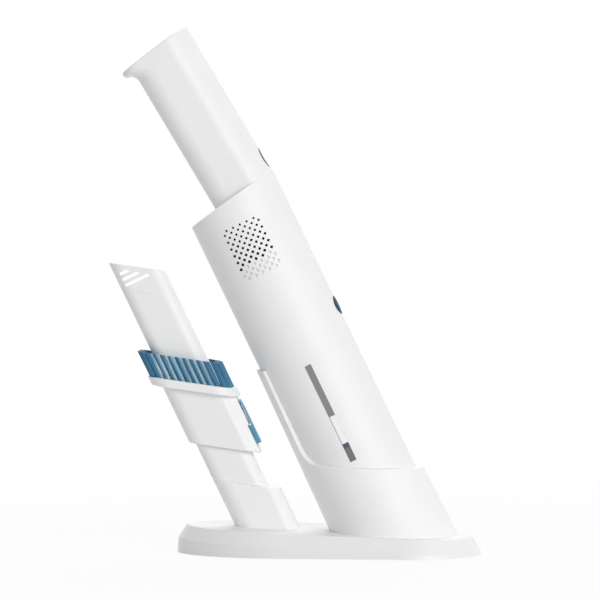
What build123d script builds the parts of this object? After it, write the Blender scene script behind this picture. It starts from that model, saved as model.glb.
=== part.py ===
from build123d import *
import math
import os

os.makedirs("parts", exist_ok=True)

# All sizes are in millimetres and all angles in degrees.
# The origin is the middle of the dock's underside, +X to the right, +Y away, +Z up.

# Fits shared by many pieces
RUN_GAP = 0.3
FIT_GAP = 0.1
SEAT_GAP = 0.04
BORE_GAP = 0.05
EDGE_ROUND = 1.0
REACH = 500
QUARTER_TURN = 90
HALF_TURN = 180
FULL_TURN = 360

# Lean of the vacuum and of the accessory, and the points where their axes start
LEAN = 25.8
VACUUM_FOOT = (44.6, 0, 17)
TOOL_FOOT = (-48.6, 0, 19)

# Dock: a wedge with a rounded plan, its top sloping down to the right
DOCK_LENGTH = 218
DOCK_DEPTH = 104
DOCK_NOSE = 80
DOCK_TOP = 16.45
DOCK_TOP_SLOPE = -0.0377
DOCK_BREAK = 6.4
DOCK_BREAK_SLOPE = -0.043
DOCK_DRAFT = 0.7
DOCK_BEVEL = 6.2
DOCK_ROUND = 1.5
DOCK_WALL = 2.2
PAD_THICKNESS = 0.5
PAD_INSET = 5
BASE_THICKNESS = 2.0
BASE_MARGIN = 1.0
DOCK_SCREW_PLACES = ((85, 22), (85, -22), (-80, 18), (-80, -18))
BOSS_RADIUS = 3.6
BOSS_TOP = 30
SCREW_RADIUS = 1.3
SCREW_HEAD_RADIUS = 2.6
SCREW_HEAD_HEIGHT = 1.2
DOCK_SCREW_LENGTH = 7
BALLAST_SIZE = (86, 60, 3)
BALLAST_X = 36
BOARD_SIZE = (40, 34, 1.6)
BOARD_X = -50
BOARD_POST_RADIUS = 2.5
BOARD_POST_HEIGHT = 2
BOARD_POST_SPACING = 26

# Low-voltage inlet in the back of the dock
JACK_X = -20
JACK_HEIGHT = 8.2
JACK_BOX = (10, 12, 9)
JACK_FACE = 44
JACK_NOSE_RADIUS = 3.8
JACK_NOSE_END = 51
JACK_MOUTH_RADIUS = 2.75
JACK_MOUTH_DEPTH = 9
JACK_BORE_RADIUS = 1.4
JACK_BORE_DEPTH = 15
JACK_PIN_RADIUS = 0.7
JACK_PIN_LENGTH = 5.5

# Cradle: a leaning cone with a level rim and a tall spine on its left side
CRADLE_RADIUS = 40.6
CRADLE_TAPER = 0.02
CRADLE_BORE = 35.12
CRADLE_RIM = 48.2
SPINE_TOP = 131
SPINE_HALF_ANGLE = 32.3
SPINE_FILLET = 15
SPINE_ROOT = 2
SPINE_ROOT_DEPTH = 14
CRADLE_ROUND = 0.8
CRADLE_LOW = -60
CRADLE_HIGH = 180

# Charging contacts in the spine and the pads that meet them
CONTACT_LEVEL = 138.6
CONTACT_SPREAD = 5
CONTACT_RADIUS = 1.5
CONTACT_FACE = 35.05
CONTACT_BACK = 36.2
BLOCK_WIDTH = 17
BLOCK_HEIGHT = 6
BLOCK_RADIUS = 36.9
CHARGE_PAD_WIDTH = 4
CHARGE_PAD_HEIGHT = 4

# Dust cup with its window, inlet duct and flap
BODY_RADIUS = 35
BODY_WALL = 2
SEAM = 135
CUP_FLOOR = 3
MOUTH_WIDTH = 31
MOUTH_DEPTH = 15
MOUTH_ROUND = 7.4
WINDOW_LOW = 57.4
WINDOW_HIGH = 132.4
WINDOW_WIDTH = 4.8
DUCT_WALL = 1.6
DUCT_TOP = 34
FLAP_THICKNESS = 1.5
FLAP_END = 18
FLAP_START = -12.5
FLAP_HALF_WIDTH = 9.6
FLAP_PIN = (-18.8, 35.6)
FLAP_PIN_RADIUS = 0.8
FLAP_KNUCKLE_RADIUS = 1.8
FLAP_KNUCKLE_HALF = 5
FLAP_EAR_INNER = 5.4
FLAP_EAR_OUTER = 7.6
FLAP_EAR_SPAN = (-20.8, -13)
FLAP_EAR_HEIGHTS = (29, 37.6)

# Filter, hung under the motor bulkhead
SEAL_LOW = 67.9
SEAL_RADIUS = 32.6
FRAME_LOW = 71.3
FRAME_HIGH = 92.3
FRAME_RADIUS = 32
FRAME_WALL = 2
ELEMENT_HIGH = 130.8
ELEMENT_RADIUS = 29.4
PLEAT_DEPTH = 4.5
PLEATS = 28
ELEMENT_BORE = 18

# Main body, step and handle; the step and the top are cut on parallel planes
STEP = 261.9
TOP = 382.3
TOP_SLOPE = 0.2
CUT_SLOPE = 0.17
HANDLE_MIDDLE = (5.5, 0, 321.9)
HANDLE_TILT = 5.1
HANDLE_HALF_WIDTH = 23.8
HANDLE_HALF_DEPTH = 27
HANDLE_CURVE = 17
HANDLE_CORNER = 14.6
HANDLE_LOW = -80
HANDLE_HIGH = 80
HANDLE_ROOT = 5
LIP_REACH = 7.8
LIP_RADIUS = 8.7
LIP_START = 45.4
LIP_STEPS = 5
LIP_SWEEP = 84
CAP_THICKNESS = 3
HANDLE_SCREW_PLACES = ((-8, -28), (0, 50))
HANDLE_SCREW_SEAT = 19
HANDLE_SCREW_TIP = -9
COUNTERBORE_RADIUS = 2.9

# Exhaust grille: square holes on a turned lattice, blind where the motor housing lies behind them
GRILLE_LOW = 205.6
GRILLE_ROWS = 15
GRILLE_ROW_PITCH = 2.66
GRILLE_PITCH = 5.3
GRILLE_TURN = 45
GRILLE_HOLES = 6
GRILLE_HOLE_TOP = 1.5
GRILLE_HOLE_BOTTOM = 2.15
GRILLE_BLIND_LEVEL = 215
GRILLE_BLIND_DEPTH = 1.2

# Power button on the handle, in the handle's own frame
POWER_LEVEL = -45.4
POWER_LENGTH = 15.7
POWER_WIDTH = 15.2
POWER_FACE = 23.8
POWER_DISH = 1.2
POWER_FLANGE_TOP = 18.8
POWER_FLANGE_LOW = 17
POWER_FLANGE_RIM = 1.4
POWER_STEM_RADIUS = 3
POWER_STEM_END = 15
BUTTON_ROUND = 0.5
HANDLE_BOARD_SIZE = (1.6, 24, 26)
HANDLE_BOARD_FACE = 9.4
SWITCH_SIZE = (3.2, 6, 6)
SWITCH_PLUNGER_RADIUS = 1.7
SWITCH_PLUNGER_TOP = 13.2

# Release button on the body
RELEASE_LEVEL = 161.4
RELEASE_LENGTH = 14.5
RELEASE_WIDTH = 18
RELEASE_FACE = 35.1
RELEASE_FLANGE_TOP = 30.9
RELEASE_FLANGE_LOW = 28.5
RELEASE_FLANGE_RIM = 1.5
RELEASE_BORE_RADIUS = 2.4
RELEASE_BORE_END = 34.4
SPRING_RADIUS = 2
SPRING_WIRE = 0.5
RELEASE_SPRING_END = 31.8
POCKET_FLOOR = 21.5
POCKET_WALL = 1.5
POCKET_HALF_WIDTH = 11.2
POCKET_LOW = 151.7
POCKET_HIGH = 171.5

# Motor, fan and exhaust
INNER_RADIUS = 32.6
BULKHEAD_LOW = 131.5
BULKHEAD_HIGH = 141
BULKHEAD_BORE = 14
SPIGOT_LOW = 125
SPIGOT_BORE = 30
HOUSING_HIGH = 214.6
HOUSING_WALL = 2
PARTITION_LOW = 157
PARTITION_HIGH = 159
PARTITION_VENTS = 6
PARTITION_VENT_RADIUS = 3.4
PARTITION_VENT_CIRCLE = 25
MOTOR_RADIUS = 17.5
MOTOR_LOW = 155
MOTOR_HIGH = 203
MOUNT_RING_RADIUS = 19.6
MOUNT_RING_HIGH = 165
SHAFT_RADIUS = 1.5
SHAFT_LOW = 142.6
SHAFT_HIGH = 206
IMPELLER_RADIUS = 26
IMPELLER_LOW = 142.4
IMPELLER_PLATE_LOW = 147.2
IMPELLER_HIGH = 148.8
IMPELLER_HUB = 5
IMPELLER_BLADES = 9
BLADE_THICKNESS = 1.2
FOAM_LOW = 215
FOAM_HIGH = 248
FOAM_RADIUS = 32.4
FOAM_THICKNESS = 3.4

# Battery in the handle, in the handle's own frame
CELL_RADIUS = 9.2
CELL_OFFSET = 9.4
CELL_LOW = -22
CELL_LENGTH = 65
HOLDER_PLATE = 1.5
HOLDER_HALF_WIDTH = 21.2
HOLDER_HALF_DEPTH = 18.4
HOLDER_BAR = (6, 3)
HOLDER_BAR_OFFSET = 13

# Accessory: every cut across it has the same slant
TOOL_SLOPE = -0.669
TOOL_LOW = -120
TOOL_HIGH = 260
TUBE_WIDTH = 34
TUBE_DEPTH = 18
TUBE_ROUND = 8.5
TUBE_WALL = 1.8
TUBE_TIP = 205.6
TIP_TILT = 3.5
SPIGOT_WIDTH = 30.4
SPIGOT_DEPTH = 14.4
SPIGOT_ROUND = 7
SPIGOT_WALL = 1.5
SPIGOT_CLEAR = 1
SPIGOT_TOP = 60
SLOT_LEFT = -12.6
SLOT_FAR_LEFT = -14.6
SLOT_LEVELS = (206.2, 201.7, 197.2)
SLOT_RIGHT_ENDS = (-5.9, -0.2, 6)
SLOT_HEIGHT = 2.5

# Holder for the accessory, with a prow on its right side
HOLDER_LEFT = -17
HOLDER_FRONT_EDGE = 18.7
HOLDER_RIGHT = 23.8
HOLDER_DEPTH = 13
HOLDER_NOSE = 6
HOLDER_ROUND = 12.4
HOLDER_RIM = 34.6
HOLDER_CORNER = -15.6
HOLDER_CORNER_TOP = 50.5
HOLDER_FILLET = 8
HOLDER_PROW_ROUND = 6
HOLDER_RIM_ROUND = 0.5

# Brush body, bristles and latch lever
BRUSH_LEFT = -20.5
BRUSH_FRONT_EDGE = 15.6
BRUSH_RIGHT = 24
BRUSH_HEEL = 22.8
BRUSH_DEPTH = 13
BRUSH_NOSE = 7.4
BRUSH_ROUND = 10
BRUSH_PROW_ROUND = 3
BRUSH_LOW = 62.8
BRUSH_GAP = 0.4
FLANGE_WIDTH = 53
FLANGE_DEPTH = 38
FLANGE_ROUND = 14
FLANGE_THICKNESS = 7.4
FLANGE_TOP = 115
BRISTLE_BACKING = 2
BRISTLE_LENGTH = 19.7
BACKING_WIDTH = 49.9
BACKING_DEPTH = 32.7
BACKING_ROUND = 8.1
BACKING_BAND = 4.2
TUFTS_EACH_SIDE = 16
MIDDLE_TUFTS = 3
TUFT_ROWS = 3
STRAND_PITCH = 1.15
STRAND_WIDTH = 0.6
LEVER_FACE = 26
LEVER_STRIP = 0.8
LEVER_PAD = 2.8
LEVER_TIP = 25.5
LEVER_TAPER = 82
LEVER_STEP = 1.6
LEVER_TILT = 5
LEVER_LOW = 54.3
LEVER_WAIST = 69
LEVER_HIGH = 88.5
LEVER_HALF_WIDTH = 3.6
LEVER_PIVOT = (21.4, 85.5)
LEVER_KNUCKLE_RADIUS = 2
LEVER_KNUCKLE_HALF = 2.8
LEVER_PIN_RADIUS = 0.9
LEVER_PIN_HALF = 5.6
LEVER_POCKET_FLOOR = 19
LEVER_POCKET_MARGIN = 1.6
LEVER_SPRING_LEVEL = 61
LEVER_SPRING_END = 22.9
LEVER_SPRING_RADIUS = 1.8
LEVER_BORE_RADIUS = 2.3
LEVER_BORE_DEPTH = 1.95

VACUUM = Pos(*VACUUM_FOOT) * Rot(0, -LEAN, 0)
TOOL = Pos(*TOOL_FOOT) * Rot(0, -LEAN, 0)
HANDLE = Pos(*HANDLE_MIDDLE) * Rot(0, -HANDLE_TILT, 0)
ALONG_X = Rot(0, QUARTER_TURN, 0)
ALONG_Y = Rot(-QUARTER_TURN, 0, 0)


def save(name, shape):
    """Write one piece to its own file."""
    export_step(shape, f"parts/{name}.step")


def sloped(height, slope):
    """The plane whose height is height + slope * x, facing up."""
    return Plane(origin=(0, 0, height), x_dir=(1, 0, slope), z_dir=(-slope, 0, 1))


def below(height, slope=0):
    """A block that fills everything under a sloped plane."""
    block = Box(REACH, REACH, REACH, align=(Align.CENTER, Align.CENTER, Align.MAX))
    return sloped(height, slope).location * block


def above(height, slope=0):
    """A block that fills everything over a sloped plane."""
    block = Box(REACH, REACH, REACH, align=(Align.CENTER, Align.CENTER, Align.MIN))
    return sloped(height, slope).location * block


def column(section, low, high):
    """A flat section drawn up from one height to another."""
    return Pos(0, 0, low) * extrude(section, high - low)


def rod(radius, low, high):
    """A solid cylinder about the Z axis."""
    return column(Circle(radius), low, high)


def tube(outer, inner, low, high):
    """A hollow cylinder about the Z axis."""
    return rod(outer, low, high) - rod(inner, low, high)


def block(x_span, y_span, z_span):
    """A box given by its lowest and highest place along each axis."""
    size = [span[1] - span[0] for span in (x_span, y_span, z_span)]
    middle = [(span[0] + span[1]) / 2 for span in (x_span, y_span, z_span)]
    return Pos(*middle) * Box(*size)


def both(half):
    """The span from minus a half width to plus a half width."""
    return (-half, half)


def cross_pin(radius, half, place):
    """A cylinder along Y through a point given by its x and z."""
    return Pos(place[0], 0, place[1]) * ALONG_Y * rod(radius, -half, half)


def push(section, level, start, end):
    """A flat section drawn along X at a given level, its long side upright."""
    return Pos(start, 0, level) * ALONG_X * extrude(section, end - start)


def profile(half, *points):
    """A solid whose outline is given by its x and z, with the same half width to both sides."""
    return extrude(Plane.XZ * make_face(Polyline(*points, close=True)), half, both=True)


def oval(length, width, rim=0):
    """An oval, or a larger one with a rim of a given width around it."""
    return Ellipse(length / 2 + rim, width / 2 + rim)


def edges_on(solid, height, slope):
    """The edges of a solid that lie in a sloped plane."""
    plane = sloped(height, slope)
    found = []
    for edge in solid.edges():
        points = [plane.to_local_coords(edge @ share) for share in (0, 1 / 3, 2 / 3, 1)]
        if all(abs(point.Z) < BORE_GAP for point in points):
            found.append(edge)
    return found


def drop(solid, frame, height, slope):
    """Keep what lies over a plane of the dock's frame, for a solid in a leaning frame."""
    return solid & (frame.inverse() * above(height, slope))


# Dock: shell, base plate, pad, screws, ballast and board
def dock_outline(inset):
    half_depth = DOCK_DEPTH / 2 - inset
    right = DOCK_LENGTH / 2 - DOCK_DEPTH / 2
    left = DOCK_NOSE - DOCK_LENGTH / 2
    front = Line((left, -half_depth), (right, -half_depth))
    right_end = CenterArc((right, 0), half_depth, -QUARTER_TURN, HALF_TURN)
    back = Line((right, half_depth), (left, half_depth))
    left_end = EllipticalCenterArc(
        (left, 0), DOCK_NOSE - inset, half_depth, QUARTER_TURN, arc_size=HALF_TURN
    )
    return make_face([front, right_end, back, left_end])


def dock_wedge(inset, lowering):
    sections = [
        Pos(0, 0, PAD_THICKNESS) * dock_outline(inset),
        sloped(DOCK_BREAK, DOCK_BREAK_SLOPE).location * dock_outline(inset + DOCK_DRAFT),
        sloped(DOCK_TOP - lowering, DOCK_TOP_SLOPE).location
        * dock_outline(inset + DOCK_DRAFT + DOCK_BEVEL),
    ]
    return loft(sections, ruled=True)


BASE_TOP = PAD_THICKNESS + BASE_THICKNESS
jack_hole = Pos(JACK_X, 0, JACK_HEIGHT) * ALONG_Y * rod(JACK_NOSE_RADIUS + FIT_GAP, JACK_FACE, DOCK_DEPTH)
dock_outer = dock_wedge(0, 0)
dock_outer = fillet(edges_on(dock_outer, DOCK_TOP, DOCK_TOP_SLOPE), DOCK_ROUND)
dock_bosses = [Pos(x, y, 0) * rod(BOSS_RADIUS, BASE_TOP, BOSS_TOP) for x, y in DOCK_SCREW_PLACES]
screw_pilots = [
    Pos(x, y, 0) * rod(SCREW_RADIUS + BORE_GAP, 0, BASE_TOP + DOCK_SCREW_LENGTH - BASE_THICKNESS)
    for x, y in DOCK_SCREW_PLACES
]
dock_shell = dock_outer - dock_wedge(DOCK_WALL, DOCK_WALL)
dock_shell = dock_shell + [boss & dock_outer for boss in dock_bosses]
dock_shell = dock_shell - screw_pilots - jack_hole
save("dock_top_shell", dock_shell)

screw_head = rod(SCREW_HEAD_RADIUS, PAD_THICKNESS, PAD_THICKNESS + SCREW_HEAD_HEIGHT)
screw_shank = rod(SCREW_RADIUS, PAD_THICKNESS, PAD_THICKNESS + DOCK_SCREW_LENGTH)
dock_screw = screw_head + screw_shank
head_recess = rod(SCREW_HEAD_RADIUS + FIT_GAP, 0, PAD_THICKNESS + SCREW_HEAD_HEIGHT)
base_plate = column(dock_outline(DOCK_WALL + DOCK_DRAFT + BASE_MARGIN), PAD_THICKNESS, BASE_TOP)
for x, y in DOCK_SCREW_PLACES:
    base_plate -= Pos(x, y, 0) * head_recess
base_plate -= screw_pilots
for x in (BOARD_X - BOARD_POST_SPACING / 2, BOARD_X + BOARD_POST_SPACING / 2):
    base_plate += Pos(x, 0, 0) * rod(BOARD_POST_RADIUS, BASE_TOP, BASE_TOP + BOARD_POST_HEIGHT)
save("dock_base_plate", base_plate)
save("dock_screws", Compound([Pos(x, y, 0) * dock_screw for x, y in DOCK_SCREW_PLACES]))
save("nonslip_pad", column(dock_outline(PAD_INSET), 0, PAD_THICKNESS))

on_base = (Align.CENTER, Align.CENTER, Align.MIN)
save("ballast_plate", Pos(BALLAST_X, 0, BASE_TOP) * Box(*BALLAST_SIZE, align=on_base))
save("dock_board", Pos(BOARD_X, 0, BASE_TOP + BOARD_POST_HEIGHT) * Box(*BOARD_SIZE, align=on_base))

# Low-voltage inlet: a box with a barrel through the back wall, and a centre pin behind the barrel's bore
jack_back = JACK_FACE - JACK_BOX[1]
jack = block(
    (JACK_X - JACK_BOX[0] / 2, JACK_X + JACK_BOX[0] / 2),
    (jack_back, JACK_FACE),
    (JACK_HEIGHT - JACK_BOX[2] / 2, JACK_HEIGHT + JACK_BOX[2] / 2),
)
jack_axis = Pos(JACK_X, 0, JACK_HEIGHT) * ALONG_Y
jack += jack_axis * rod(JACK_NOSE_RADIUS, JACK_FACE - FIT_GAP, JACK_NOSE_END)
jack_bore_end = JACK_NOSE_END - JACK_BORE_DEPTH
jack -= jack_axis * rod(JACK_BORE_RADIUS, jack_bore_end, JACK_NOSE_END)
jack -= jack_axis * rod(JACK_MOUTH_RADIUS, JACK_NOSE_END - JACK_MOUTH_DEPTH, JACK_NOSE_END)
save("dc_jack", jack)
save("jack_pin", jack_axis * rod(JACK_PIN_RADIUS, jack_bore_end, jack_bore_end + JACK_PIN_LENGTH))


# Cradle: a level rim, and a spine whose edges are cut square to its wall
def local_height(world_height, slope, place):
    """Height in the vacuum's frame of a dock-frame plane, at a place across the axis."""
    lean = math.radians(LEAN)
    rise = world_height + slope * VACUUM_FOOT[0] - VACUUM_FOOT[2]
    across = math.sin(lean) - slope * math.cos(lean)
    up = math.cos(lean) + slope * math.sin(lean)
    return (rise - across * place) / up


def level_plane(world_height, slope):
    """Height and slope, in the vacuum's frame, of a dock-frame plane."""
    height = local_height(world_height, slope, 0)
    return height, local_height(world_height, slope, 1) - height


def on_cone(edge):
    """Whether a curved edge runs along the cradle's outer cone."""
    points = [edge @ share for share in (0, 1 / 3, 2 / 3, 1)]
    misses = [math.hypot(point.X, point.Y) - CRADLE_RADIUS + CRADLE_TAPER * point.Z for point in points]
    return abs(points[1].Y) > BORE_GAP and max(abs(miss) for miss in misses) < BORE_GAP


def spine_corner(side):
    """The rounded fill between the rim and one edge of the spine."""
    turn = math.radians(SPINE_HALF_ANGLE)
    outward = Vector(-math.cos(turn), side * math.sin(turn), 0)
    edge_normal = Vector(math.sin(turn), side * math.cos(turn), 0)
    rim_normal = Vector(-rim_slope, 0, 1).normalized()
    lap = edge_normal.dot(rim_normal)
    up = (rim_normal - edge_normal * lap).normalized()
    away = (edge_normal - rim_normal * lap).normalized()
    along = up.cross(away)
    if along.dot(outward) < 0:
        along = along * -1
    half = math.radians(up.get_angle(away)) / 2
    start = outward * CRADLE_BORE
    corner = start + Vector(0, 0, rim_height + rim_slope * start.X) - along * SPINE_ROOT
    plane = Plane(origin=corner, x_dir=up, z_dir=along)
    between = (up + away).normalized()
    run = SPINE_FILLET / math.tan(half)
    middle = between * (SPINE_FILLET / math.sin(half))
    outline = [between * -SPINE_ROOT, up * run, middle, away * run]
    flat = [(point.dot(plane.x_dir), point.dot(plane.y_dir)) for point in outline]
    fill = make_face(Polyline(*flat, close=True)) - Pos(*flat[2]) * Circle(SPINE_FILLET)
    return extrude(plane * fill, SPINE_ROOT_DEPTH)


wide = 2 * CRADLE_RADIUS
rim_height, rim_slope = level_plane(DOCK_TOP + CRADLE_RIM, DOCK_TOP_SLOPE)
spine_height, spine_slope = level_plane(SPINE_TOP, 0)
spine_spread = wide * math.tan(math.radians(SPINE_HALF_ANGLE))
spine_sector = make_face(Polyline((0, 0), (-wide, spine_spread), (-wide, -spine_spread), close=True))
spine_keep = column(spine_sector, CRADLE_LOW, CRADLE_HIGH) & below(spine_height, spine_slope)
cradle_cone = Pos(0, 0, (CRADLE_LOW + CRADLE_HIGH) / 2) * Cone(
    CRADLE_RADIUS - CRADLE_TAPER * CRADLE_LOW,
    CRADLE_RADIUS - CRADLE_TAPER * CRADLE_HIGH,
    CRADLE_HIGH - CRADLE_LOW,
)
cradle_wall = cradle_cone - rod(CRADLE_BORE, CRADLE_LOW, CRADLE_HIGH)
cradle = (cradle_wall & below(rim_height, rim_slope)) + (cradle_wall & spine_keep)
cradle += [cradle_wall & spine_corner(side) for side in both(1)]
cradle_rim = [edge for edge in cradle.edges() if on_cone(edge) and edge.center().Z > 0]
cradle = drop(fillet(cradle_rim, CRADLE_ROUND), VACUUM, DOCK_TOP, DOCK_TOP_SLOPE)

# Contact block let into the spine, with two spring contacts
block_box = block(
    (-wide, 0),
    both(BLOCK_WIDTH / 2),
    (CONTACT_LEVEL - BLOCK_HEIGHT / 2, CONTACT_LEVEL + BLOCK_HEIGHT / 2),
)
block_ring = tube(BLOCK_RADIUS, CRADLE_BORE, 0, CRADLE_HIGH)
contact_block = block_ring & block_box
contacts = [
    Pos(0, y, CONTACT_LEVEL) * ALONG_X * rod(CONTACT_RADIUS, -CONTACT_BACK, -CONTACT_FACE)
    for y in both(CONTACT_SPREAD)
]
save("vacuum_cradle", VACUUM * (cradle - contact_block))
save("contact_block", VACUUM * (contact_block - contacts))
save("charge_contacts", VACUUM * Compound(contacts))


# Holder for the accessory
def prow_section(left, front_edge, right, depth, nose, round_radius, prow_round):
    """A section with a rounded left end and a blunt, softened prow on the right."""
    corners = Polyline(
        (left, -depth),
        (front_edge, -depth),
        (right, -nose),
        (right, nose),
        (front_edge, depth),
        (left, depth),
        close=True,
    )
    face = make_face(corners)
    face = fillet(face.vertices().group_by(Axis.X)[0], round_radius)
    prow_corners = [corner for corner in face.vertices() if abs(corner.X - front_edge) < FIT_GAP]
    return fillet(prow_corners, prow_round)


def slant_at(height, place):
    return height + TOOL_SLOPE * place


holder_outline = Polyline(
    (-FLANGE_WIDTH, TOOL_LOW),
    (-FLANGE_WIDTH, HOLDER_CORNER_TOP),
    (HOLDER_CORNER, HOLDER_CORNER_TOP),
    (HOLDER_CORNER, slant_at(HOLDER_RIM, HOLDER_CORNER)),
    (FLANGE_WIDTH, slant_at(HOLDER_RIM, FLANGE_WIDTH)),
    (FLANGE_WIDTH, TOOL_LOW),
    close=True,
)
holder_face = make_face(holder_outline)
rim_corner = (HOLDER_CORNER, slant_at(HOLDER_RIM, HOLDER_CORNER), 0)
holder_face = fillet(holder_face.vertices().sort_by_distance(rim_corner)[0], HOLDER_FILLET)
holder_keep = extrude(Plane.XZ * holder_face, FLANGE_WIDTH, both=True)
holder_section = prow_section(
    HOLDER_LEFT,
    HOLDER_FRONT_EDGE,
    HOLDER_RIGHT,
    HOLDER_DEPTH,
    HOLDER_NOSE,
    HOLDER_ROUND,
    HOLDER_PROW_ROUND,
)
pocket = RectangleRounded(SPIGOT_WIDTH + 2 * RUN_GAP, SPIGOT_DEPTH + 2 * RUN_GAP, SPIGOT_ROUND + RUN_GAP)
holder = column(holder_section, TOOL_LOW, TOOL_HIGH) & holder_keep
holder = fillet(edges_on(holder, HOLDER_RIM, TOOL_SLOPE), HOLDER_RIM_ROUND)
holder -= column(pocket, TOOL_LOW, TOOL_HIGH)
holder = drop(holder, TOOL, DOCK_TOP, DOCK_TOP_SLOPE)
save("tool_holder", TOOL * holder)

# Dust cup, cut off level with the dock, with its mouth in the floor
CUP_LOW = DOCK_TOP + RUN_GAP
cup_outer = drop(rod(BODY_RADIUS, CRADLE_LOW, SEAM), VACUUM, CUP_LOW, DOCK_TOP_SLOPE)
cup_room = drop(
    rod(BODY_RADIUS - BODY_WALL, CRADLE_LOW, REACH), VACUUM, CUP_LOW + CUP_FLOOR, DOCK_TOP_SLOPE
)
mouth = RectangleRounded(MOUTH_WIDTH, MOUTH_DEPTH, MOUTH_ROUND)
mouth_bore = column(mouth, CRADLE_LOW, DUCT_TOP)
window_cut = block(both(WINDOW_WIDTH / 2), (-wide, 0), (WINDOW_LOW, WINDOW_HIGH))
lens_shape = block(
    both(WINDOW_WIDTH / 2 - BORE_GAP),
    (-wide, 0),
    (WINDOW_LOW + BORE_GAP, WINDOW_HIGH - BORE_GAP),
)
save("dust_cup", VACUUM * (cup_outer - cup_room - mouth_bore - window_cut))
save("window_lens", VACUUM * (tube(BODY_RADIUS, BODY_RADIUS - BODY_WALL, 0, SEAM) & lens_shape))

# Inlet duct standing on the cup's floor, with ears for the flap's pin
duct_section = RectangleRounded(
    MOUTH_WIDTH + 2 * DUCT_WALL, MOUTH_DEPTH + 2 * DUCT_WALL, MOUTH_ROUND + DUCT_WALL
)
duct = drop(column(duct_section, CRADLE_LOW, DUCT_TOP), VACUUM, CUP_LOW + CUP_FLOOR, DOCK_TOP_SLOPE)
for side in both(1):
    ear_span = sorted((side * FLAP_EAR_INNER, side * FLAP_EAR_OUTER))
    duct += block(FLAP_EAR_SPAN, ear_span, FLAP_EAR_HEIGHTS)
duct -= mouth_bore
duct -= cross_pin(FLAP_PIN_RADIUS + BORE_GAP, FLAP_EAR_OUTER, FLAP_PIN)
save("inlet_duct", VACUUM * duct)
save("flap_pin", VACUUM * cross_pin(FLAP_PIN_RADIUS, FLAP_EAR_OUTER, FLAP_PIN))

flap_heights = (DUCT_TOP + RUN_GAP, DUCT_TOP + RUN_GAP + FLAP_THICKNESS)
flap = block((FLAP_START, FLAP_END), both(FLAP_HALF_WIDTH), flap_heights)
flap += block((FLAP_PIN[0], FLAP_START), both(FLAP_KNUCKLE_HALF), flap_heights)
flap += cross_pin(FLAP_KNUCKLE_RADIUS, FLAP_KNUCKLE_HALF, FLAP_PIN)
flap -= cross_pin(FLAP_PIN_RADIUS + BORE_GAP, FLAP_KNUCKLE_HALF, FLAP_PIN)
save("inlet_flap", VACUUM * flap)

# Filter: a collar with a seal below it and a pleated element above it
frame_bore = FRAME_RADIUS - FRAME_WALL
filter_frame = tube(FRAME_RADIUS, frame_bore, FRAME_LOW, FRAME_HIGH)
filter_frame += rod(FRAME_RADIUS, FRAME_LOW, FRAME_LOW + FRAME_WALL)
filter_frame += tube(FRAME_RADIUS, ELEMENT_BORE, FRAME_HIGH - FRAME_WALL, FRAME_HIGH)
pleat_points = []
for step in range(2 * PLEATS):
    turn = math.pi * step / PLEATS
    reach = ELEMENT_RADIUS - PLEAT_DEPTH * (step % 2)
    pleat_points.append((reach * math.cos(turn), reach * math.sin(turn)))
pleats = make_face(Polyline(*pleat_points, close=True))
filter_element = column(pleats, FRAME_HIGH, ELEMENT_HIGH) - rod(ELEMENT_BORE, FRAME_HIGH, ELEMENT_HIGH)
save("filter_frame", VACUUM * filter_frame)
save("filter_element", VACUUM * filter_element)
save("filter_seal", VACUUM * tube(SEAL_RADIUS, frame_bore, SEAL_LOW, FRAME_LOW))


# Outer form of the main body, the handle and the lip at its top
def handle_section(inset, reach=0):
    """The handle's section: flat front and back, a full curve on the right, two round corners on the left."""
    depth = HANDLE_HALF_DEPTH - inset
    corner = HANDLE_CORNER - inset
    side = depth - corner
    left = inset - HANDLE_HALF_WIDTH - reach
    turn = left + corner
    right = HANDLE_HALF_WIDTH - HANDLE_CURVE
    return make_face(
        [
            Line((turn, -depth), (right, -depth)),
            EllipticalCenterArc((right, 0), HANDLE_CURVE - inset, depth, -QUARTER_TURN, arc_size=HALF_TURN),
            Line((right, depth), (turn, depth)),
            CenterArc((turn, side), corner, QUARTER_TURN, QUARTER_TURN),
            Line((left, side), (left, -side)),
            CenterArc((turn, -side), corner, HALF_TURN, QUARTER_TURN),
        ]
    )


def lip_flare():
    """A hollow flare of the handle's left side, out to the lip."""
    sections = []
    for step in range(LIP_STEPS):
        turn = math.radians(LIP_SWEEP * step / (LIP_STEPS - 1))
        height = LIP_START + LIP_RADIUS * math.sin(turn)
        reach = LIP_REACH * (1 - math.cos(turn)) / (1 - math.cos(math.radians(LIP_SWEEP)))
        sections.append(Pos(0, 0, height) * handle_section(0, reach))
    return loft(sections)


lip_end = LIP_START + LIP_RADIUS * math.sin(math.radians(LIP_SWEEP))
handle_outer = column(handle_section(0), HANDLE_LOW, LIP_START)
handle_outer += [lip_flare(), column(handle_section(0, LIP_REACH), lip_end, HANDLE_HIGH)]
handle_room = column(handle_section(BODY_WALL), HANDLE_LOW, HANDLE_HIGH)
under_step = below(STEP, CUT_SLOPE)
under_top = below(TOP, TOP_SLOPE)
over_root = above(STEP - HANDLE_ROOT, CUT_SLOPE)
body_low = SEAM + SEAT_GAP
handle_form = (HANDLE * handle_outer) & under_top & over_root
handle_form = fillet(edges_on(handle_form, TOP, TOP_SLOPE), EDGE_ROUND)
main_outer = (under_step + handle_form) & rod(BODY_RADIUS, body_low, REACH)
body_room = rod(BODY_RADIUS - BODY_WALL, 0, TOP) & below(STEP - BODY_WALL, CUT_SLOPE)
main_room = body_room + ((HANDLE * handle_room) & over_root)
main_shell = main_outer - main_room

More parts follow.
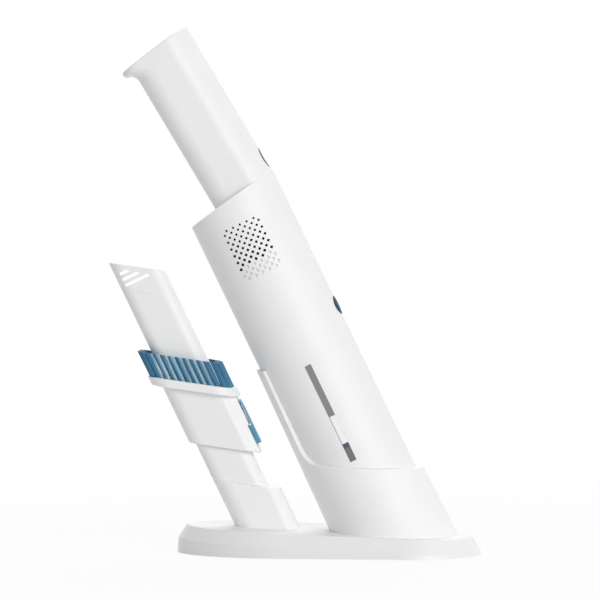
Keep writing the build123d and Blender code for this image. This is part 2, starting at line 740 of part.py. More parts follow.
# Openings in the shell: grille, buttons, charge pads and screws
blind_core = rod(BODY_RADIUS - GRILLE_BLIND_DEPTH, 0, TOP)
grille_cuts = []
for row in range(GRILLE_ROWS):
    share = row / (GRILLE_ROWS - 1)
    side = GRILLE_HOLE_BOTTOM + (GRILLE_HOLE_TOP - GRILLE_HOLE_BOTTOM) * share
    count = GRILLE_HOLES - 1 + row % 2
    level = GRILLE_LOW + row * GRILLE_ROW_PITCH
    for hole in range(count):
        place = (hole - (count - 1) / 2) * GRILLE_PITCH
        square = Pos(place, 0, level) * Rot(0, GRILLE_TURN, 0) * Box(side, 2 * wide, side)
        blind = level < GRILLE_BLIND_LEVEL + CUT_SLOPE * place
        grille_cuts.append(square - blind_core if blind else square)

power_room = oval(POWER_LENGTH, POWER_WIDTH, RUN_GAP / 2)
power_hole = HANDLE * push(power_room, POWER_LEVEL, POWER_STEM_END, wide)
release_room = oval(RELEASE_LENGTH, RELEASE_WIDTH, RUN_GAP / 2)
release_hole = push(release_room, RELEASE_LEVEL, RELEASE_FLANGE_LOW, wide)
pad_boxes = [
    block(
        (-BODY_RADIUS - BODY_WALL, -BODY_RADIUS / 2),
        (y - CHARGE_PAD_WIDTH / 2, y + CHARGE_PAD_WIDTH / 2),
        (CONTACT_LEVEL - CHARGE_PAD_HEIGHT / 2, CONTACT_LEVEL + CHARGE_PAD_HEIGHT / 2),
    )
    for y in both(CONTACT_SPREAD)
]
pad_ring = tube(BODY_RADIUS, BODY_RADIUS - BODY_WALL, body_low, STEP)
screw_bosses = []
screw_cuts = []
handle_screws = []
for across, along in HANDLE_SCREW_PLACES:
    axis = HANDLE * Pos(across, 0, along) * ALONG_Y
    screw_bosses.append(main_outer & (axis * rod(BOSS_RADIUS, -BODY_RADIUS, BODY_RADIUS)))
    screw_cuts.append(axis * rod(COUNTERBORE_RADIUS, HANDLE_SCREW_SEAT, BODY_RADIUS))
    screw_cuts.append(axis * rod(SCREW_RADIUS + BORE_GAP, HANDLE_SCREW_TIP - FIT_GAP, BODY_RADIUS))
    head_top = HANDLE_SCREW_SEAT + SCREW_HEAD_RADIUS
    shank = rod(SCREW_RADIUS, HANDLE_SCREW_TIP, HANDLE_SCREW_SEAT)
    handle_screws.append(axis * (shank + rod(SCREW_HEAD_RADIUS, HANDLE_SCREW_SEAT, head_top)))

main_shell = main_shell + screw_bosses
main_shell = main_shell - grille_cuts - screw_cuts
main_shell = main_shell - [power_hole, release_hole] - pad_boxes
front_side = block(both(REACH), (-REACH, 0), both(REACH))
save("body_shell_front", VACUUM * (main_shell & front_side))
save("body_shell_back", VACUUM * (main_shell - front_side))
save("handle_screws", VACUUM * Compound(handle_screws))
save("charge_pads", VACUUM * Compound([pad_ring & box for box in pad_boxes]))

cap = HANDLE * column(handle_section(BODY_WALL + FIT_GAP), 0, HANDLE_HIGH)
cap = cap & under_top & above(TOP - CAP_THICKNESS, TOP_SLOPE)
save("handle_cap", VACUUM * cap)

# Power button with a dished face, its switch and the control board behind it
dish_radius = (POWER_LENGTH**2 / 4 + POWER_DISH**2) / (2 * POWER_DISH)
dish_axis = (POWER_FACE - POWER_DISH + dish_radius, POWER_LEVEL)
power_button = push(oval(POWER_LENGTH, POWER_WIDTH), POWER_LEVEL, POWER_FLANGE_LOW, POWER_FACE)
power_button -= cross_pin(dish_radius, POWER_WIDTH, dish_axis)
power_flange = oval(POWER_LENGTH, POWER_WIDTH, POWER_FLANGE_RIM)
power_button += push(power_flange, POWER_LEVEL, POWER_FLANGE_LOW, POWER_FLANGE_TOP)
power_button += push(Circle(POWER_STEM_RADIUS), POWER_LEVEL, POWER_STEM_END, POWER_FLANGE_LOW)
save("power_button", VACUUM * HANDLE * power_button)

board_low = HANDLE_BOARD_FACE - HANDLE_BOARD_SIZE[0]
handle_board = block(
    (board_low, HANDLE_BOARD_FACE),
    both(HANDLE_BOARD_SIZE[1] / 2),
    (POWER_LEVEL - HANDLE_BOARD_SIZE[2] / 2, POWER_LEVEL + HANDLE_BOARD_SIZE[2] / 2),
)
switch_top = HANDLE_BOARD_FACE + SWITCH_SIZE[0]
switch = block(
    (HANDLE_BOARD_FACE, switch_top),
    both(SWITCH_SIZE[1] / 2),
    (POWER_LEVEL - SWITCH_SIZE[2] / 2, POWER_LEVEL + SWITCH_SIZE[2] / 2),
)
switch += push(Circle(SWITCH_PLUNGER_RADIUS), POWER_LEVEL, switch_top - FIT_GAP, SWITCH_PLUNGER_TOP)
save("control_board", VACUUM * HANDLE * handle_board)
save("power_switch", VACUUM * HANDLE * switch)

# Release button with a bored stem over its spring
release_button = push(oval(RELEASE_LENGTH, RELEASE_WIDTH), RELEASE_LEVEL, RELEASE_FLANGE_LOW, RELEASE_FACE)
release_button = fillet(release_button.faces().sort_by(Axis.X)[-1].edges(), BUTTON_ROUND)
release_flange = oval(RELEASE_LENGTH, RELEASE_WIDTH, RELEASE_FLANGE_RIM)
release_button += push(release_flange, RELEASE_LEVEL, RELEASE_FLANGE_LOW, RELEASE_FLANGE_TOP)
release_button -= push(Circle(RELEASE_BORE_RADIUS), RELEASE_LEVEL, RELEASE_FLANGE_LOW, RELEASE_BORE_END)
release_spring = push(Circle(SPRING_RADIUS), RELEASE_LEVEL, POCKET_FLOOR, RELEASE_SPRING_END)
release_spring -= push(Circle(SPRING_RADIUS - SPRING_WIRE), RELEASE_LEVEL, POCKET_FLOOR, RELEASE_SPRING_END)
save("release_button", VACUUM * release_button)
save("release_spring", VACUUM * release_spring)

# Bulkhead that closes the cup and carries the filter
bulkhead = tube(INNER_RADIUS, BULKHEAD_BORE, BULKHEAD_LOW, BULKHEAD_HIGH)
bulkhead += tube(INNER_RADIUS, SPIGOT_BORE, SPIGOT_LOW, BULKHEAD_LOW)
save("motor_bulkhead", VACUUM * bulkhead)

# Motor housing with a partition and a pocket for the release button
housing_bore = INNER_RADIUS - HOUSING_WALL
housing = tube(INNER_RADIUS, housing_bore, BULKHEAD_HIGH, STEP) & below(HOUSING_HIGH, CUT_SLOPE)
partition = tube(INNER_RADIUS, MOTOR_RADIUS + FIT_GAP, PARTITION_LOW, PARTITION_HIGH)
for vent in range(PARTITION_VENTS):
    turn = Rot(0, 0, FULL_TURN * (vent + 1) / (PARTITION_VENTS + 1))
    vent_rod = rod(PARTITION_VENT_RADIUS, PARTITION_LOW, PARTITION_HIGH)
    partition -= turn * Pos(PARTITION_VENT_CIRCLE, 0, 0) * vent_rod
housing += partition
pocket_heights = (POCKET_LOW - POCKET_WALL, POCKET_HIGH + POCKET_WALL)
pocket_box = block(
    (POCKET_FLOOR - POCKET_WALL, BODY_RADIUS), both(POCKET_HALF_WIDTH + POCKET_WALL), pocket_heights
)
housing += pocket_box & rod(INNER_RADIUS, BULKHEAD_HIGH, HOUSING_HIGH)
housing -= block((POCKET_FLOOR, REACH), both(POCKET_HALF_WIDTH), (POCKET_LOW, POCKET_HIGH))
save("motor_housing", VACUUM * housing)

# Motor, its rubber ring, shaft and impeller
motor = tube(MOTOR_RADIUS, SHAFT_RADIUS + BORE_GAP, MOTOR_LOW, MOTOR_HIGH)
save("motor_can", VACUUM * motor)
mount_ring = tube(MOUNT_RING_RADIUS, MOTOR_RADIUS + BORE_GAP, PARTITION_HIGH, MOUNT_RING_HIGH)
save("motor_mount_ring", VACUUM * mount_ring)
save("motor_shaft", VACUUM * rod(SHAFT_RADIUS, SHAFT_LOW, SHAFT_HIGH))
impeller = rod(IMPELLER_RADIUS, IMPELLER_PLATE_LOW, IMPELLER_HIGH)
impeller += rod(IMPELLER_HUB, IMPELLER_LOW, IMPELLER_HIGH)
for blade in range(IMPELLER_BLADES):
    vane = block((0, IMPELLER_RADIUS), both(BLADE_THICKNESS / 2), (IMPELLER_LOW, IMPELLER_PLATE_LOW))
    impeller += Rot(0, 0, FULL_TURN * blade / IMPELLER_BLADES) * vane
impeller -= rod(SHAFT_RADIUS, IMPELLER_LOW, IMPELLER_HIGH)
save("impeller", VACUUM * impeller)
foam = tube(FOAM_RADIUS, FOAM_RADIUS - FOAM_THICKNESS, BULKHEAD_HIGH, STEP)
foam = foam & above(FOAM_LOW, CUT_SLOPE) & below(FOAM_HIGH, CUT_SLOPE)
save("exhaust_filter", VACUUM * foam)

# Battery: two cells side by side between two end plates on a bar
cell = rod(CELL_RADIUS, CELL_LOW, CELL_LOW + CELL_LENGTH)
save("battery_cell_left", VACUUM * HANDLE * Pos(-CELL_OFFSET, 0, 0) * cell)
save("battery_cell_right", VACUUM * HANDLE * Pos(CELL_OFFSET, 0, 0) * cell)
plate_section = Ellipse(HOLDER_HALF_WIDTH, HOLDER_HALF_DEPTH)
cell_high = CELL_LOW + CELL_LENGTH
battery_holder = column(plate_section, CELL_LOW - HOLDER_PLATE, CELL_LOW)
battery_holder += column(plate_section, cell_high, cell_high + HOLDER_PLATE)
bar_section = Pos(0, HOLDER_BAR_OFFSET, 0) * Rectangle(*HOLDER_BAR)
battery_holder += column(bar_section, CELL_LOW, cell_high)
save("battery_holder", VACUUM * HANDLE * battery_holder)

# Crevice nozzle: a flat tube with a slanted tip, three bleed slots and a spigot, seated on the holder's rim
tube_section = RectangleRounded(TUBE_WIDTH, TUBE_DEPTH, TUBE_ROUND)
tube_bore = RectangleRounded(
    TUBE_WIDTH - 2 * TUBE_WALL, TUBE_DEPTH - 2 * TUBE_WALL, TUBE_ROUND - TUBE_WALL
)
spigot_section = RectangleRounded(SPIGOT_WIDTH, SPIGOT_DEPTH, SPIGOT_ROUND)
spigot_bore = RectangleRounded(
    SPIGOT_WIDTH - 2 * SPIGOT_WALL, SPIGOT_DEPTH - 2 * SPIGOT_WALL, SPIGOT_ROUND - SPIGOT_WALL
)
tip_turn = Pos(0, 0, TUBE_TIP) * Rot(-TIP_TILT, 0, 0) * Pos(0, 0, -TUBE_TIP)
nozzle = column(tube_section, 0, TOOL_HIGH) & (tip_turn * below(TUBE_TIP, TOOL_SLOPE))
nozzle -= Pos(SEAT_GAP, 0, SEAT_GAP) * holder_keep
spigot = column(spigot_section, TOOL_LOW, SPIGOT_TOP)
nozzle += drop(spigot, TOOL, DOCK_TOP + SPIGOT_CLEAR, DOCK_TOP_SLOPE)
nozzle -= column(spigot_bore, TOOL_LOW, SPIGOT_TOP)
nozzle -= column(tube_bore, SPIGOT_TOP, TOOL_HIGH)
slot_half_height = SLOT_HEIGHT / 2
for level, right_end in zip(SLOT_LEVELS, SLOT_RIGHT_ENDS):
    slots = [
        profile(
            TUBE_DEPTH,
            (left, level - slot_half_height),
            (right_end - TOOL_SLOPE * slot_half_height, level - slot_half_height),
            (right_end + TOOL_SLOPE * slot_half_height, level + slot_half_height),
            (left, level + slot_half_height),
        )
        for left in (SLOT_LEFT, SLOT_FAR_LEFT)
    ]
    nozzle -= [slots[0] & front_side, slots[1] - front_side]
save("crevice_nozzle", TOOL * nozzle)

# Brush body: a prow-shaped sleeve with a wide flange that carries the bristles
brush_section = prow_section(
    BRUSH_LEFT, BRUSH_FRONT_EDGE, BRUSH_RIGHT, BRUSH_DEPTH, BRUSH_NOSE, BRUSH_ROUND, BRUSH_PROW_ROUND
)
flange_section = RectangleRounded(FLANGE_WIDTH, FLANGE_DEPTH, FLANGE_ROUND)
sleeve_section = RectangleRounded(
    TUBE_WIDTH + 2 * BRUSH_GAP, TUBE_DEPTH + 2 * BRUSH_GAP, TUBE_ROUND + BRUSH_GAP
)
flange_low = FLANGE_TOP - FLANGE_THICKNESS
under_flange = below(FLANGE_TOP, TOOL_SLOPE)
brush_body = column(brush_section, 0, TOOL_HIGH) & above(BRUSH_LOW, TOOL_SLOPE) & under_flange
brush_body = fillet(edges_on(brush_body, BRUSH_LOW, TOOL_SLOPE), EDGE_ROUND)
brush_flange = column(flange_section, 0, TOOL_HIGH) & above(flange_low, TOOL_SLOPE) & under_flange
brush_flange = fillet(edges_on(brush_flange, FLANGE_TOP, TOOL_SLOPE), EDGE_ROUND)
brush_flange = fillet(edges_on(brush_flange, flange_low, TOOL_SLOPE), EDGE_ROUND)
brush_body += brush_flange
backing_outer = RectangleRounded(BACKING_WIDTH, BACKING_DEPTH, BACKING_ROUND)
backing_inner = RectangleRounded(
    BACKING_WIDTH - 2 * BACKING_BAND, BACKING_DEPTH - 2 * BACKING_BAND, BACKING_ROUND - BACKING_BAND
)
backing = column(backing_outer, 0, TOOL_HIGH) - column(backing_inner, 0, TOOL_HIGH)
backing = backing & above(FLANGE_TOP - BRISTLE_BACKING, TOOL_SLOPE) & under_flange
brush_body -= column(sleeve_section, 0, TOOL_HIGH)
brush_body -= backing

# Room in the brush body for the lever's strip and pad, its knuckle, pin and spring
strip_inner = LEVER_FACE - LEVER_STRIP
lever_dip = (LEVER_PIVOT[1] - LEVER_WAIST) * math.tan(math.radians(LEVER_TILT))
brush_body -= block((BRUSH_HEEL, REACH), both(REACH), (0, LEVER_WAIST + RUN_GAP))
brush_body -= profile(
    LEVER_HALF_WIDTH + BRUSH_GAP,
    (strip_inner - lever_dip - RUN_GAP, LEVER_WAIST),
    (strip_inner - RUN_GAP, LEVER_PIVOT[1]),
    (strip_inner - RUN_GAP, LEVER_HIGH + BRUSH_GAP),
    (REACH, LEVER_HIGH + BRUSH_GAP),
    (REACH, LEVER_WAIST),
)
pocket_span = (LEVER_LOW - LEVER_POCKET_MARGIN, LEVER_WAIST + LEVER_POCKET_MARGIN)
brush_body -= block(
    (LEVER_POCKET_FLOOR, REACH), both(LEVER_HALF_WIDTH + BRUSH_GAP), pocket_span
)
knuckle_room = LEVER_KNUCKLE_RADIUS + BRUSH_GAP
brush_body -= block(
    (LEVER_PIVOT[0] - knuckle_room, REACH),
    both(LEVER_KNUCKLE_HALF + RUN_GAP),
    (LEVER_PIVOT[1] - 2 * knuckle_room, LEVER_PIVOT[1] + knuckle_room),
)
brush_body -= cross_pin(LEVER_PIN_RADIUS + BORE_GAP, LEVER_PIN_HALF, LEVER_PIVOT)
save("brush_body", TOOL * brush_body)
save("latch_pin", TOOL * cross_pin(LEVER_PIN_RADIUS, LEVER_PIN_HALF, LEVER_PIVOT))
spring_span = (LEVER_POCKET_FLOOR, LEVER_SPRING_END)
latch_spring = push(Circle(LEVER_SPRING_RADIUS), LEVER_SPRING_LEVEL, *spring_span)
latch_spring -= push(Circle(LEVER_SPRING_RADIUS - SPRING_WIRE), LEVER_SPRING_LEVEL, *spring_span)
save("latch_spring", TOOL * latch_spring)

# Latch lever: a thin tapered strip from the pivot down to a thick finger pad
lever_inner = LEVER_FACE - LEVER_PAD
lever = profile(
    LEVER_HALF_WIDTH,
    (lever_inner, LEVER_LOW),
    (lever_inner, LEVER_WAIST - LEVER_STEP),
    (strip_inner, LEVER_WAIST),
    (strip_inner, LEVER_HIGH),
    (LEVER_TIP, LEVER_HIGH),
    (LEVER_FACE, LEVER_TAPER),
    (LEVER_FACE, LEVER_LOW),
)
lever += cross_pin(LEVER_KNUCKLE_RADIUS, LEVER_KNUCKLE_HALF, LEVER_PIVOT)
lever += block(
    (LEVER_PIVOT[0], LEVER_TIP),
    both(LEVER_KNUCKLE_HALF),
    (LEVER_PIVOT[1] - LEVER_STRIP, LEVER_PIVOT[1] + LEVER_STRIP),
)
lever -= cross_pin(LEVER_PIN_RADIUS + BORE_GAP, LEVER_KNUCKLE_HALF, LEVER_PIVOT)
lever -= push(Circle(LEVER_BORE_RADIUS), LEVER_SPRING_LEVEL, lever_inner, lever_inner + LEVER_BORE_DEPTH)
save("latch_lever", TOOL * lever)

# Bristles: tufts of square strands set round the backing ring, which is in six lengths
tuft_x = (BACKING_WIDTH - BACKING_BAND) / 2
tuft_y = (BACKING_DEPTH - BACKING_BAND) / 2
tuft_path = FilletPolyline(
    (0, -tuft_y), (tuft_x, -tuft_y), (tuft_x, tuft_y), (0, tuft_y), radius=BACKING_ROUND - BACKING_BAND / 2
)
tuft_places = []
for tuft in range(TUFTS_EACH_SIDE):
    share = (tuft + 0.5) / TUFTS_EACH_SIDE
    centre = tuft_path.position_at(share)
    heading = tuft_path.tangent_at(share)
    turn = math.degrees(math.atan2(heading.Y, heading.X))
    tuft_places.append((centre.X, centre.Y, turn))
    tuft_places.append((-centre.X, centre.Y, -turn))
strand_height = BRISTLE_LENGTH + BRISTLE_BACKING / 2


def tuft_strands(x, y, turn):
    """The square strands of one tuft, in rows square to the ring."""
    strands = []
    for row in range(TUFT_ROWS):
        for file in range(TUFT_ROWS):
            offset = Vector(row - (TUFT_ROWS - 1) / 2, file - (TUFT_ROWS - 1) / 2) * STRAND_PITCH
            place = Vector(x, y) + offset.rotate(Axis.Z, turn)
            foot = slant_at(FLANGE_TOP - BRISTLE_BACKING / 2, place.X)
            strand = Box(STRAND_WIDTH, STRAND_WIDTH, strand_height, align=on_base)
            strands.append(Pos(place.X, place.Y, foot) * Rot(0, 0, turn) * strand)
    return strands


split = tuft_path.length * MIDDLE_TUFTS / TUFTS_EACH_SIDE
middle_span = both(split)
right_span = (split, FLANGE_WIDTH)
left_span = (-FLANGE_WIDTH, -split)
front_span = (-FLANGE_WIDTH, 0)
back_span = (0, FLANGE_WIDTH)
bristle_lengths = {
    "bristles_front": (middle_span, front_span),
    "bristles_right_front": (right_span, front_span),
    "bristles_right_back": (right_span, back_span),
    "bristles_back": (middle_span, back_span),
    "bristles_left_back": (left_span, back_span),
    "bristles_left_front": (left_span, front_span),
}
for name, (x_span, y_span) in bristle_lengths.items():
    slice_of_backing = backing & block(x_span, y_span, (0, TOOL_HIGH))
    strands = []
    for x, y, turn in tuft_places:
        if x_span[0] < x < x_span[1] and y_span[0] < y < y_span[1]:
            strands.extend(tuft_strands(x, y, turn))
    save(name, TOOL * slice_of_backing.fuse(*strands))
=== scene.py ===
import bmesh
import bpy
import math
from mathutils import Matrix, Vector


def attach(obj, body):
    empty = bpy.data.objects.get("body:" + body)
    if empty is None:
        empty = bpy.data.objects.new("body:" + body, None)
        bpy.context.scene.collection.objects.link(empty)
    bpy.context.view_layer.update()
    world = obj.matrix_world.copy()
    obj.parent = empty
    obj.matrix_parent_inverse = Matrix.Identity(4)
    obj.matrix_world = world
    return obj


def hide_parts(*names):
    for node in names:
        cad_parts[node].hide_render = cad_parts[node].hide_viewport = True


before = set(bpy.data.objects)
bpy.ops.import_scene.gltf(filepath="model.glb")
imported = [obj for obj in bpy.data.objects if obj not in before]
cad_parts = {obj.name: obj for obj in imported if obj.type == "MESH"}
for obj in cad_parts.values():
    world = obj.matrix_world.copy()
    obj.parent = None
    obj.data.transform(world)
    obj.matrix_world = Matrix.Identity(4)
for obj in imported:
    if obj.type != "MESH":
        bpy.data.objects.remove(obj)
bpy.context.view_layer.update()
scene = bpy.context.scene
scene.view_settings.view_transform = "Standard"


# Camera: a long lens from a little above the dock and a little to its right, as for a catalogue
# picture, so that upright lines stay upright and the dock's top shows only as a sliver.
AIM = Vector((-0.0211, 0, 0.1808))
CAMERA_AZIMUTH = math.radians(4.5)
CAMERA_ELEVATION = math.radians(2.7)
CAMERA_DISTANCE = 3.4
FRAME_WIDTH = 0.4284
SENSOR = 36


def direction(azimuth, elevation):
    """The way from the object to a place round it, counted from the near side to the right."""
    level = math.cos(elevation)
    return Vector((math.sin(azimuth) * level, -math.cos(azimuth) * level, math.sin(elevation)))


towards_camera = direction(CAMERA_AZIMUTH, CAMERA_ELEVATION)
lens = bpy.data.cameras.new("catalogue_camera")
lens.sensor_width = SENSOR
lens.lens = SENSOR * CAMERA_DISTANCE / FRAME_WIDTH
camera = bpy.data.objects.new("catalogue_camera", lens)
camera.location = AIM + towards_camera * CAMERA_DISTANCE
camera.rotation_euler = towards_camera.to_track_quat("Z", "Y").to_euler()
scene.collection.objects.link(camera)
scene.camera = camera


# Studio: a white sweep for a floor, even light all round, a broad soft lamp on the right and one
# behind for the upper faces. The left flanks turn away from both and go grey, which is what draws
# white on white. Away from the object the sweep fades into the white air, so no horizon shows.
class Wire:
    """A socket of a node tree that takes part in plain arithmetic."""

    def __init__(self, tree, socket=None):
        self.tree = tree
        self.socket = socket

    def node(self, kind, settings=(), sockets=(), output=0):
        """Adds a node, its settings first and then the values or links of its sockets."""
        made = self.tree.nodes.new(kind)
        for name, value in dict(settings).items():
            if name == "stops":
                ramp = made.color_ramp.elements
                while len(ramp) < len(value):
                    ramp.new(1)
                for stop, (place, colour) in zip(ramp, value):
                    stop.position = place
                    stop.color = colour
            else:
                setattr(made, name, value)
        for name, value in dict(sockets).items():
            for part in value if isinstance(value, list) else [value]:
                if isinstance(part, Wire):
                    self.tree.links.new(part.socket, made.inputs[name])
                else:
                    made.inputs[name].default_value = part
        return Wire(self.tree, made.outputs[output] if made.outputs else None)

    def maths(self, operation, first, second):
        return self.node("ShaderNodeMath", {"operation": operation}, {0: first, 1: second})

    def __add__(self, other):
        return self.maths("ADD", self, other)

    def __sub__(self, other):
        return self.maths("SUBTRACT", self, other)

    def __rsub__(self, other):
        return self.maths("SUBTRACT", other, self)

    def __mul__(self, other):
        return self.maths("MULTIPLY", self, other)

    def __gt__(self, other):
        return self.maths("GREATER_THAN", self, other)

    def __lt__(self, other):
        return self.maths("LESS_THAN", self, other)

    __radd__ = __add__
    __rmul__ = __mul__

    def mix(self, first, second):
        """The first colour where this value is 0, the second where it is 1."""
        sockets = {0: self, 6: first, 7: second}
        return self.node("ShaderNodeMix", {"data_type": "RGBA"}, sockets, 2)

    def pick(self, output):
        """Another output of the node that this socket belongs to."""
        return Wire(self.tree, self.socket.node.outputs[output])


def shade(red, green, blue):
    return (red, green, blue, 1)


def empty_tree(owner):
    owner.use_nodes = True
    owner.node_tree.nodes.clear()
    return Wire(owner.node_tree)


HALF = 0.5


def seen_directly(tree):
    """1 for rays that show the background: straight, mirrored or through glass."""
    ray = tree.node("ShaderNodeLightPath", output="Is Camera Ray")
    return ray + ray.pick("Is Glossy Ray") + ray.pick("Is Transmission Ray") > HALF


WHITE = shade(1, 1, 1)
SKY_LEVEL = 0.48
FLOOR_SIZE = 30
FLOOR_DROP = 0.0002
FLOOR_COLOUR = shade(0.76, 0.76, 0.76)
FLOOR_WHITENESS = 0.93
FADE_START = 0.2
FADE_END = 0.7
LAMP_SIZE = 2.2
LAMP_DISTANCE = 3.4
LAMPS = (("right_lamp", 53, 39, 16), ("back_lamp", 50, 190, 52))

world = bpy.data.worlds.new("studio_air")
scene.world = world
air = empty_tree(world)
plain_air = air.node("ShaderNodeBackground", {}, {"Color": WHITE, "Strength": SKY_LEVEL})
white_air = air.node("ShaderNodeBackground", {}, {"Color": WHITE, "Strength": 1})
air_mix = air.node("ShaderNodeMixShader", {}, {0: seen_directly(air), 1: plain_air, 2: white_air})
air.node("ShaderNodeOutputWorld", {}, {"Surface": air_mix})

sweep = bpy.data.materials.new("white_sweep")
paper = empty_tree(sweep)
matt_paper = paper.node("ShaderNodeBsdfDiffuse", {}, {"Color": FLOOR_COLOUR})
white_paper = paper.node("ShaderNodeEmission", {}, {"Color": WHITE, "Strength": 1})
spot = paper.node("ShaderNodeTexCoord", output="Object")
away = paper.node("ShaderNodeVectorMath", {"operation": "LENGTH"}, {0: spot}, "Value")
fade = {"Value": away, "From Min": FADE_START, "From Max": FADE_END, "To Min": FLOOR_WHITENESS, "To Max": 1}
whiteness = paper.node("ShaderNodeMapRange", {"interpolation_type": "SMOOTHSTEP"}, fade)
paper_share = seen_directly(paper) * whiteness
paper_mix = paper.node("ShaderNodeMixShader", {}, {0: paper_share, 1: matt_paper, 2: white_paper})
paper.node("ShaderNodeOutputMaterial", {}, {"Surface": paper_mix})

floor_mesh = bpy.data.meshes.new("floor")
reach = FLOOR_SIZE / 2
corners = [(-reach, -reach), (reach, -reach), (reach, reach), (-reach, reach)]
floor_mesh.from_pydata([(x, y, -FLOOR_DROP) for x, y in corners], [], [(0, 1, 2, 3)])
floor_mesh.materials.append(sweep)
floor = bpy.data.objects.new("floor", floor_mesh)
scene.collection.objects.link(floor)

for name, power, azimuth, elevation in LAMPS:
    lamp_data = bpy.data.lights.new(name, "AREA")
    lamp_data.shape = "DISK"
    lamp_data.size = LAMP_SIZE
    lamp_data.energy = power
    lamp = bpy.data.objects.new(name, lamp_data)
    towards_lamp = direction(math.radians(azimuth), math.radians(elevation))
    lamp.location = AIM + towards_lamp * LAMP_DISTANCE
    lamp.rotation_euler = towards_lamp.to_track_quat("Z", "Y").to_euler()
    scene.collection.objects.link(lamp)


# Dock: a hollow wedge moulded in white plastic, closed from below by a dark plate with a rubber
# pad. A steel plate weighs it down, and a small board joins the inlet to the charging contacts.
def finish_of(tree, colour, roughness, height, depth, **fixed):
    """Ends a material: a colour, a roughness and a height field over one shader."""
    sockets = {"Base Color": colour, "Roughness": roughness}
    if height is not None:
        relief = {"Height": height, "Strength": 1, "Distance": depth}
        sockets["Normal"] = tree.node("ShaderNodeBump", {}, relief)
    sockets.update({name.replace("_", " "): value for name, value in fixed.items()})
    shader = tree.node("ShaderNodeBsdfPrincipled", {}, sockets)
    tree.node("ShaderNodeOutputMaterial", {}, {"Surface": shader})


def new_finish(name):
    material = bpy.data.materials.new(name)
    tree = empty_tree(material)
    place = tree.node("ShaderNodeTexCoord", output="Object")
    return material, tree, place


FIELD_DETAIL = 2
FIELD_ROUGHNESS = 0.55


def speckle(tree, place, per_metre, detail=FIELD_DETAIL):
    """A soft random field with a given number of blotches to the metre."""
    sockets = {"Vector": place, "Scale": per_metre, "Detail": detail, "Roughness": FIELD_ROUGHNESS}
    return tree.node("ShaderNodeTexNoise", {}, sockets)


def lighter(colour, share):
    """A colour with each part brought up or down by a share, as far as white."""
    return shade(*[min(1, part * share) for part in colour])


CLOUDS = 35
CLOUD_PALER = 1.03
CLOUD_DEEPER = 0.975
MARKS = 140
MARK_DETAIL = 4
MARK_GLOSS = 0.1


def moulded(name, colour, roughness, grain, depth, **fixed):
    """Moulded plastic: faint clouds in the colour, a fine grain, and handling marks in the gloss."""
    material, tree, place = new_finish(name)
    clouds = speckle(tree, place, CLOUDS)
    tint = clouds.mix(lighter(colour, CLOUD_DEEPER), lighter(colour, CLOUD_PALER))
    marks = speckle(tree, place, MARKS, MARK_DETAIL)
    gloss = roughness - MARK_GLOSS * HALF + marks * MARK_GLOSS
    finish_of(tree, tint, gloss, speckle(tree, place, grain), depth, **fixed)
    return material


def dress(material, *names):
    """Gives CAD nodes their finish."""
    for name in names:
        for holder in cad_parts[name].material_slots:
            holder.material = material


dock_white = moulded("dock_white", (0.89, 0.891, 0.893), 0.4, 1600, 0.000002)
dark_plastic = moulded("dark_plastic", (0.035, 0.036, 0.04), 0.5, 900, 0.00006)
dress(dock_white, "dock_top_shell")
dress(dark_plastic, "dock_base_plate", "dc_jack")


BLOOM = 60
BLOOM_DETAIL = 5
BLOOM_PALER = 1.7
BLOOM_ROUGHNESS = 0.15
RUBBER_ROUGHNESS = 0.75
TREAD_WAVER = 0.3
TREAD_DEPTH = 0.0002
PAD_RIBS = 80


def ribbed_rubber(name, colour, ribs):
    """Rubber with a fine ribbed tread and a dusty bloom."""
    material, tree, place = new_finish(name)
    bloom = speckle(tree, place, BLOOM, BLOOM_DETAIL)
    tint = bloom.mix(shade(*colour), lighter(colour, BLOOM_PALER))
    waves = {"Vector": place, "Scale": ribs, "Distortion": TREAD_WAVER}
    tread = tree.node("ShaderNodeTexWave", {"bands_direction": "X"}, waves, "Fac")
    finish_of(tree, tint, RUBBER_ROUGHNESS + bloom * BLOOM_ROUGHNESS, tread, TREAD_DEPTH)
    return material


dark_rubber = ribbed_rubber("dark_rubber", (0.022, 0.022, 0.023), PAD_RIBS)
dress(dark_rubber, "nonslip_pad")


STREAKS = 900
STREAK_DETAIL = 3
STREAK_GLOSS = 0.16
STREAK_DEPTH = 0.000008
TARNISH = 90
TARNISH_DETAIL = 4
TARNISH_DEEPER = 0.8


def worked_metal(name, colour, roughness, stretch):
    """Drawn or rolled metal: fine streaks along one direction and a little tarnish."""
    material, tree, place = new_finish(name)
    lay = tree.node("ShaderNodeMapping", {}, {"Vector": place, "Scale": stretch})
    streaks = speckle(tree, lay, STREAKS, STREAK_DETAIL)
    tarnish = speckle(tree, place, TARNISH, TARNISH_DETAIL)
    tint = tarnish.mix(shade(*colour), lighter(colour, TARNISH_DEEPER))
    gloss = roughness - STREAK_GLOSS * HALF + streaks * STREAK_GLOSS
    finish_of(tree, tint, gloss, streaks, STREAK_DEPTH, Metallic=1)
    return material


bright_steel = worked_metal("bright_steel", (0.58, 0.585, 0.6), 0.32, (1, 1, 0.05))
plated_brass = worked_metal("plated_brass", (0.83, 0.63, 0.28), 0.25, (0.1, 1, 1))
dress(bright_steel, "ballast_plate")
dress(plated_brass, "jack_pin")


TRACKS = 420
TRACK_STRAY = 0.25
TRACK_EDGE = 0.42
LAND_EDGE = 0.1
LAND_GLOSS = 0.2
MASK_ROUGHNESS = 0.45
MASK_DEPTH = 0.00003


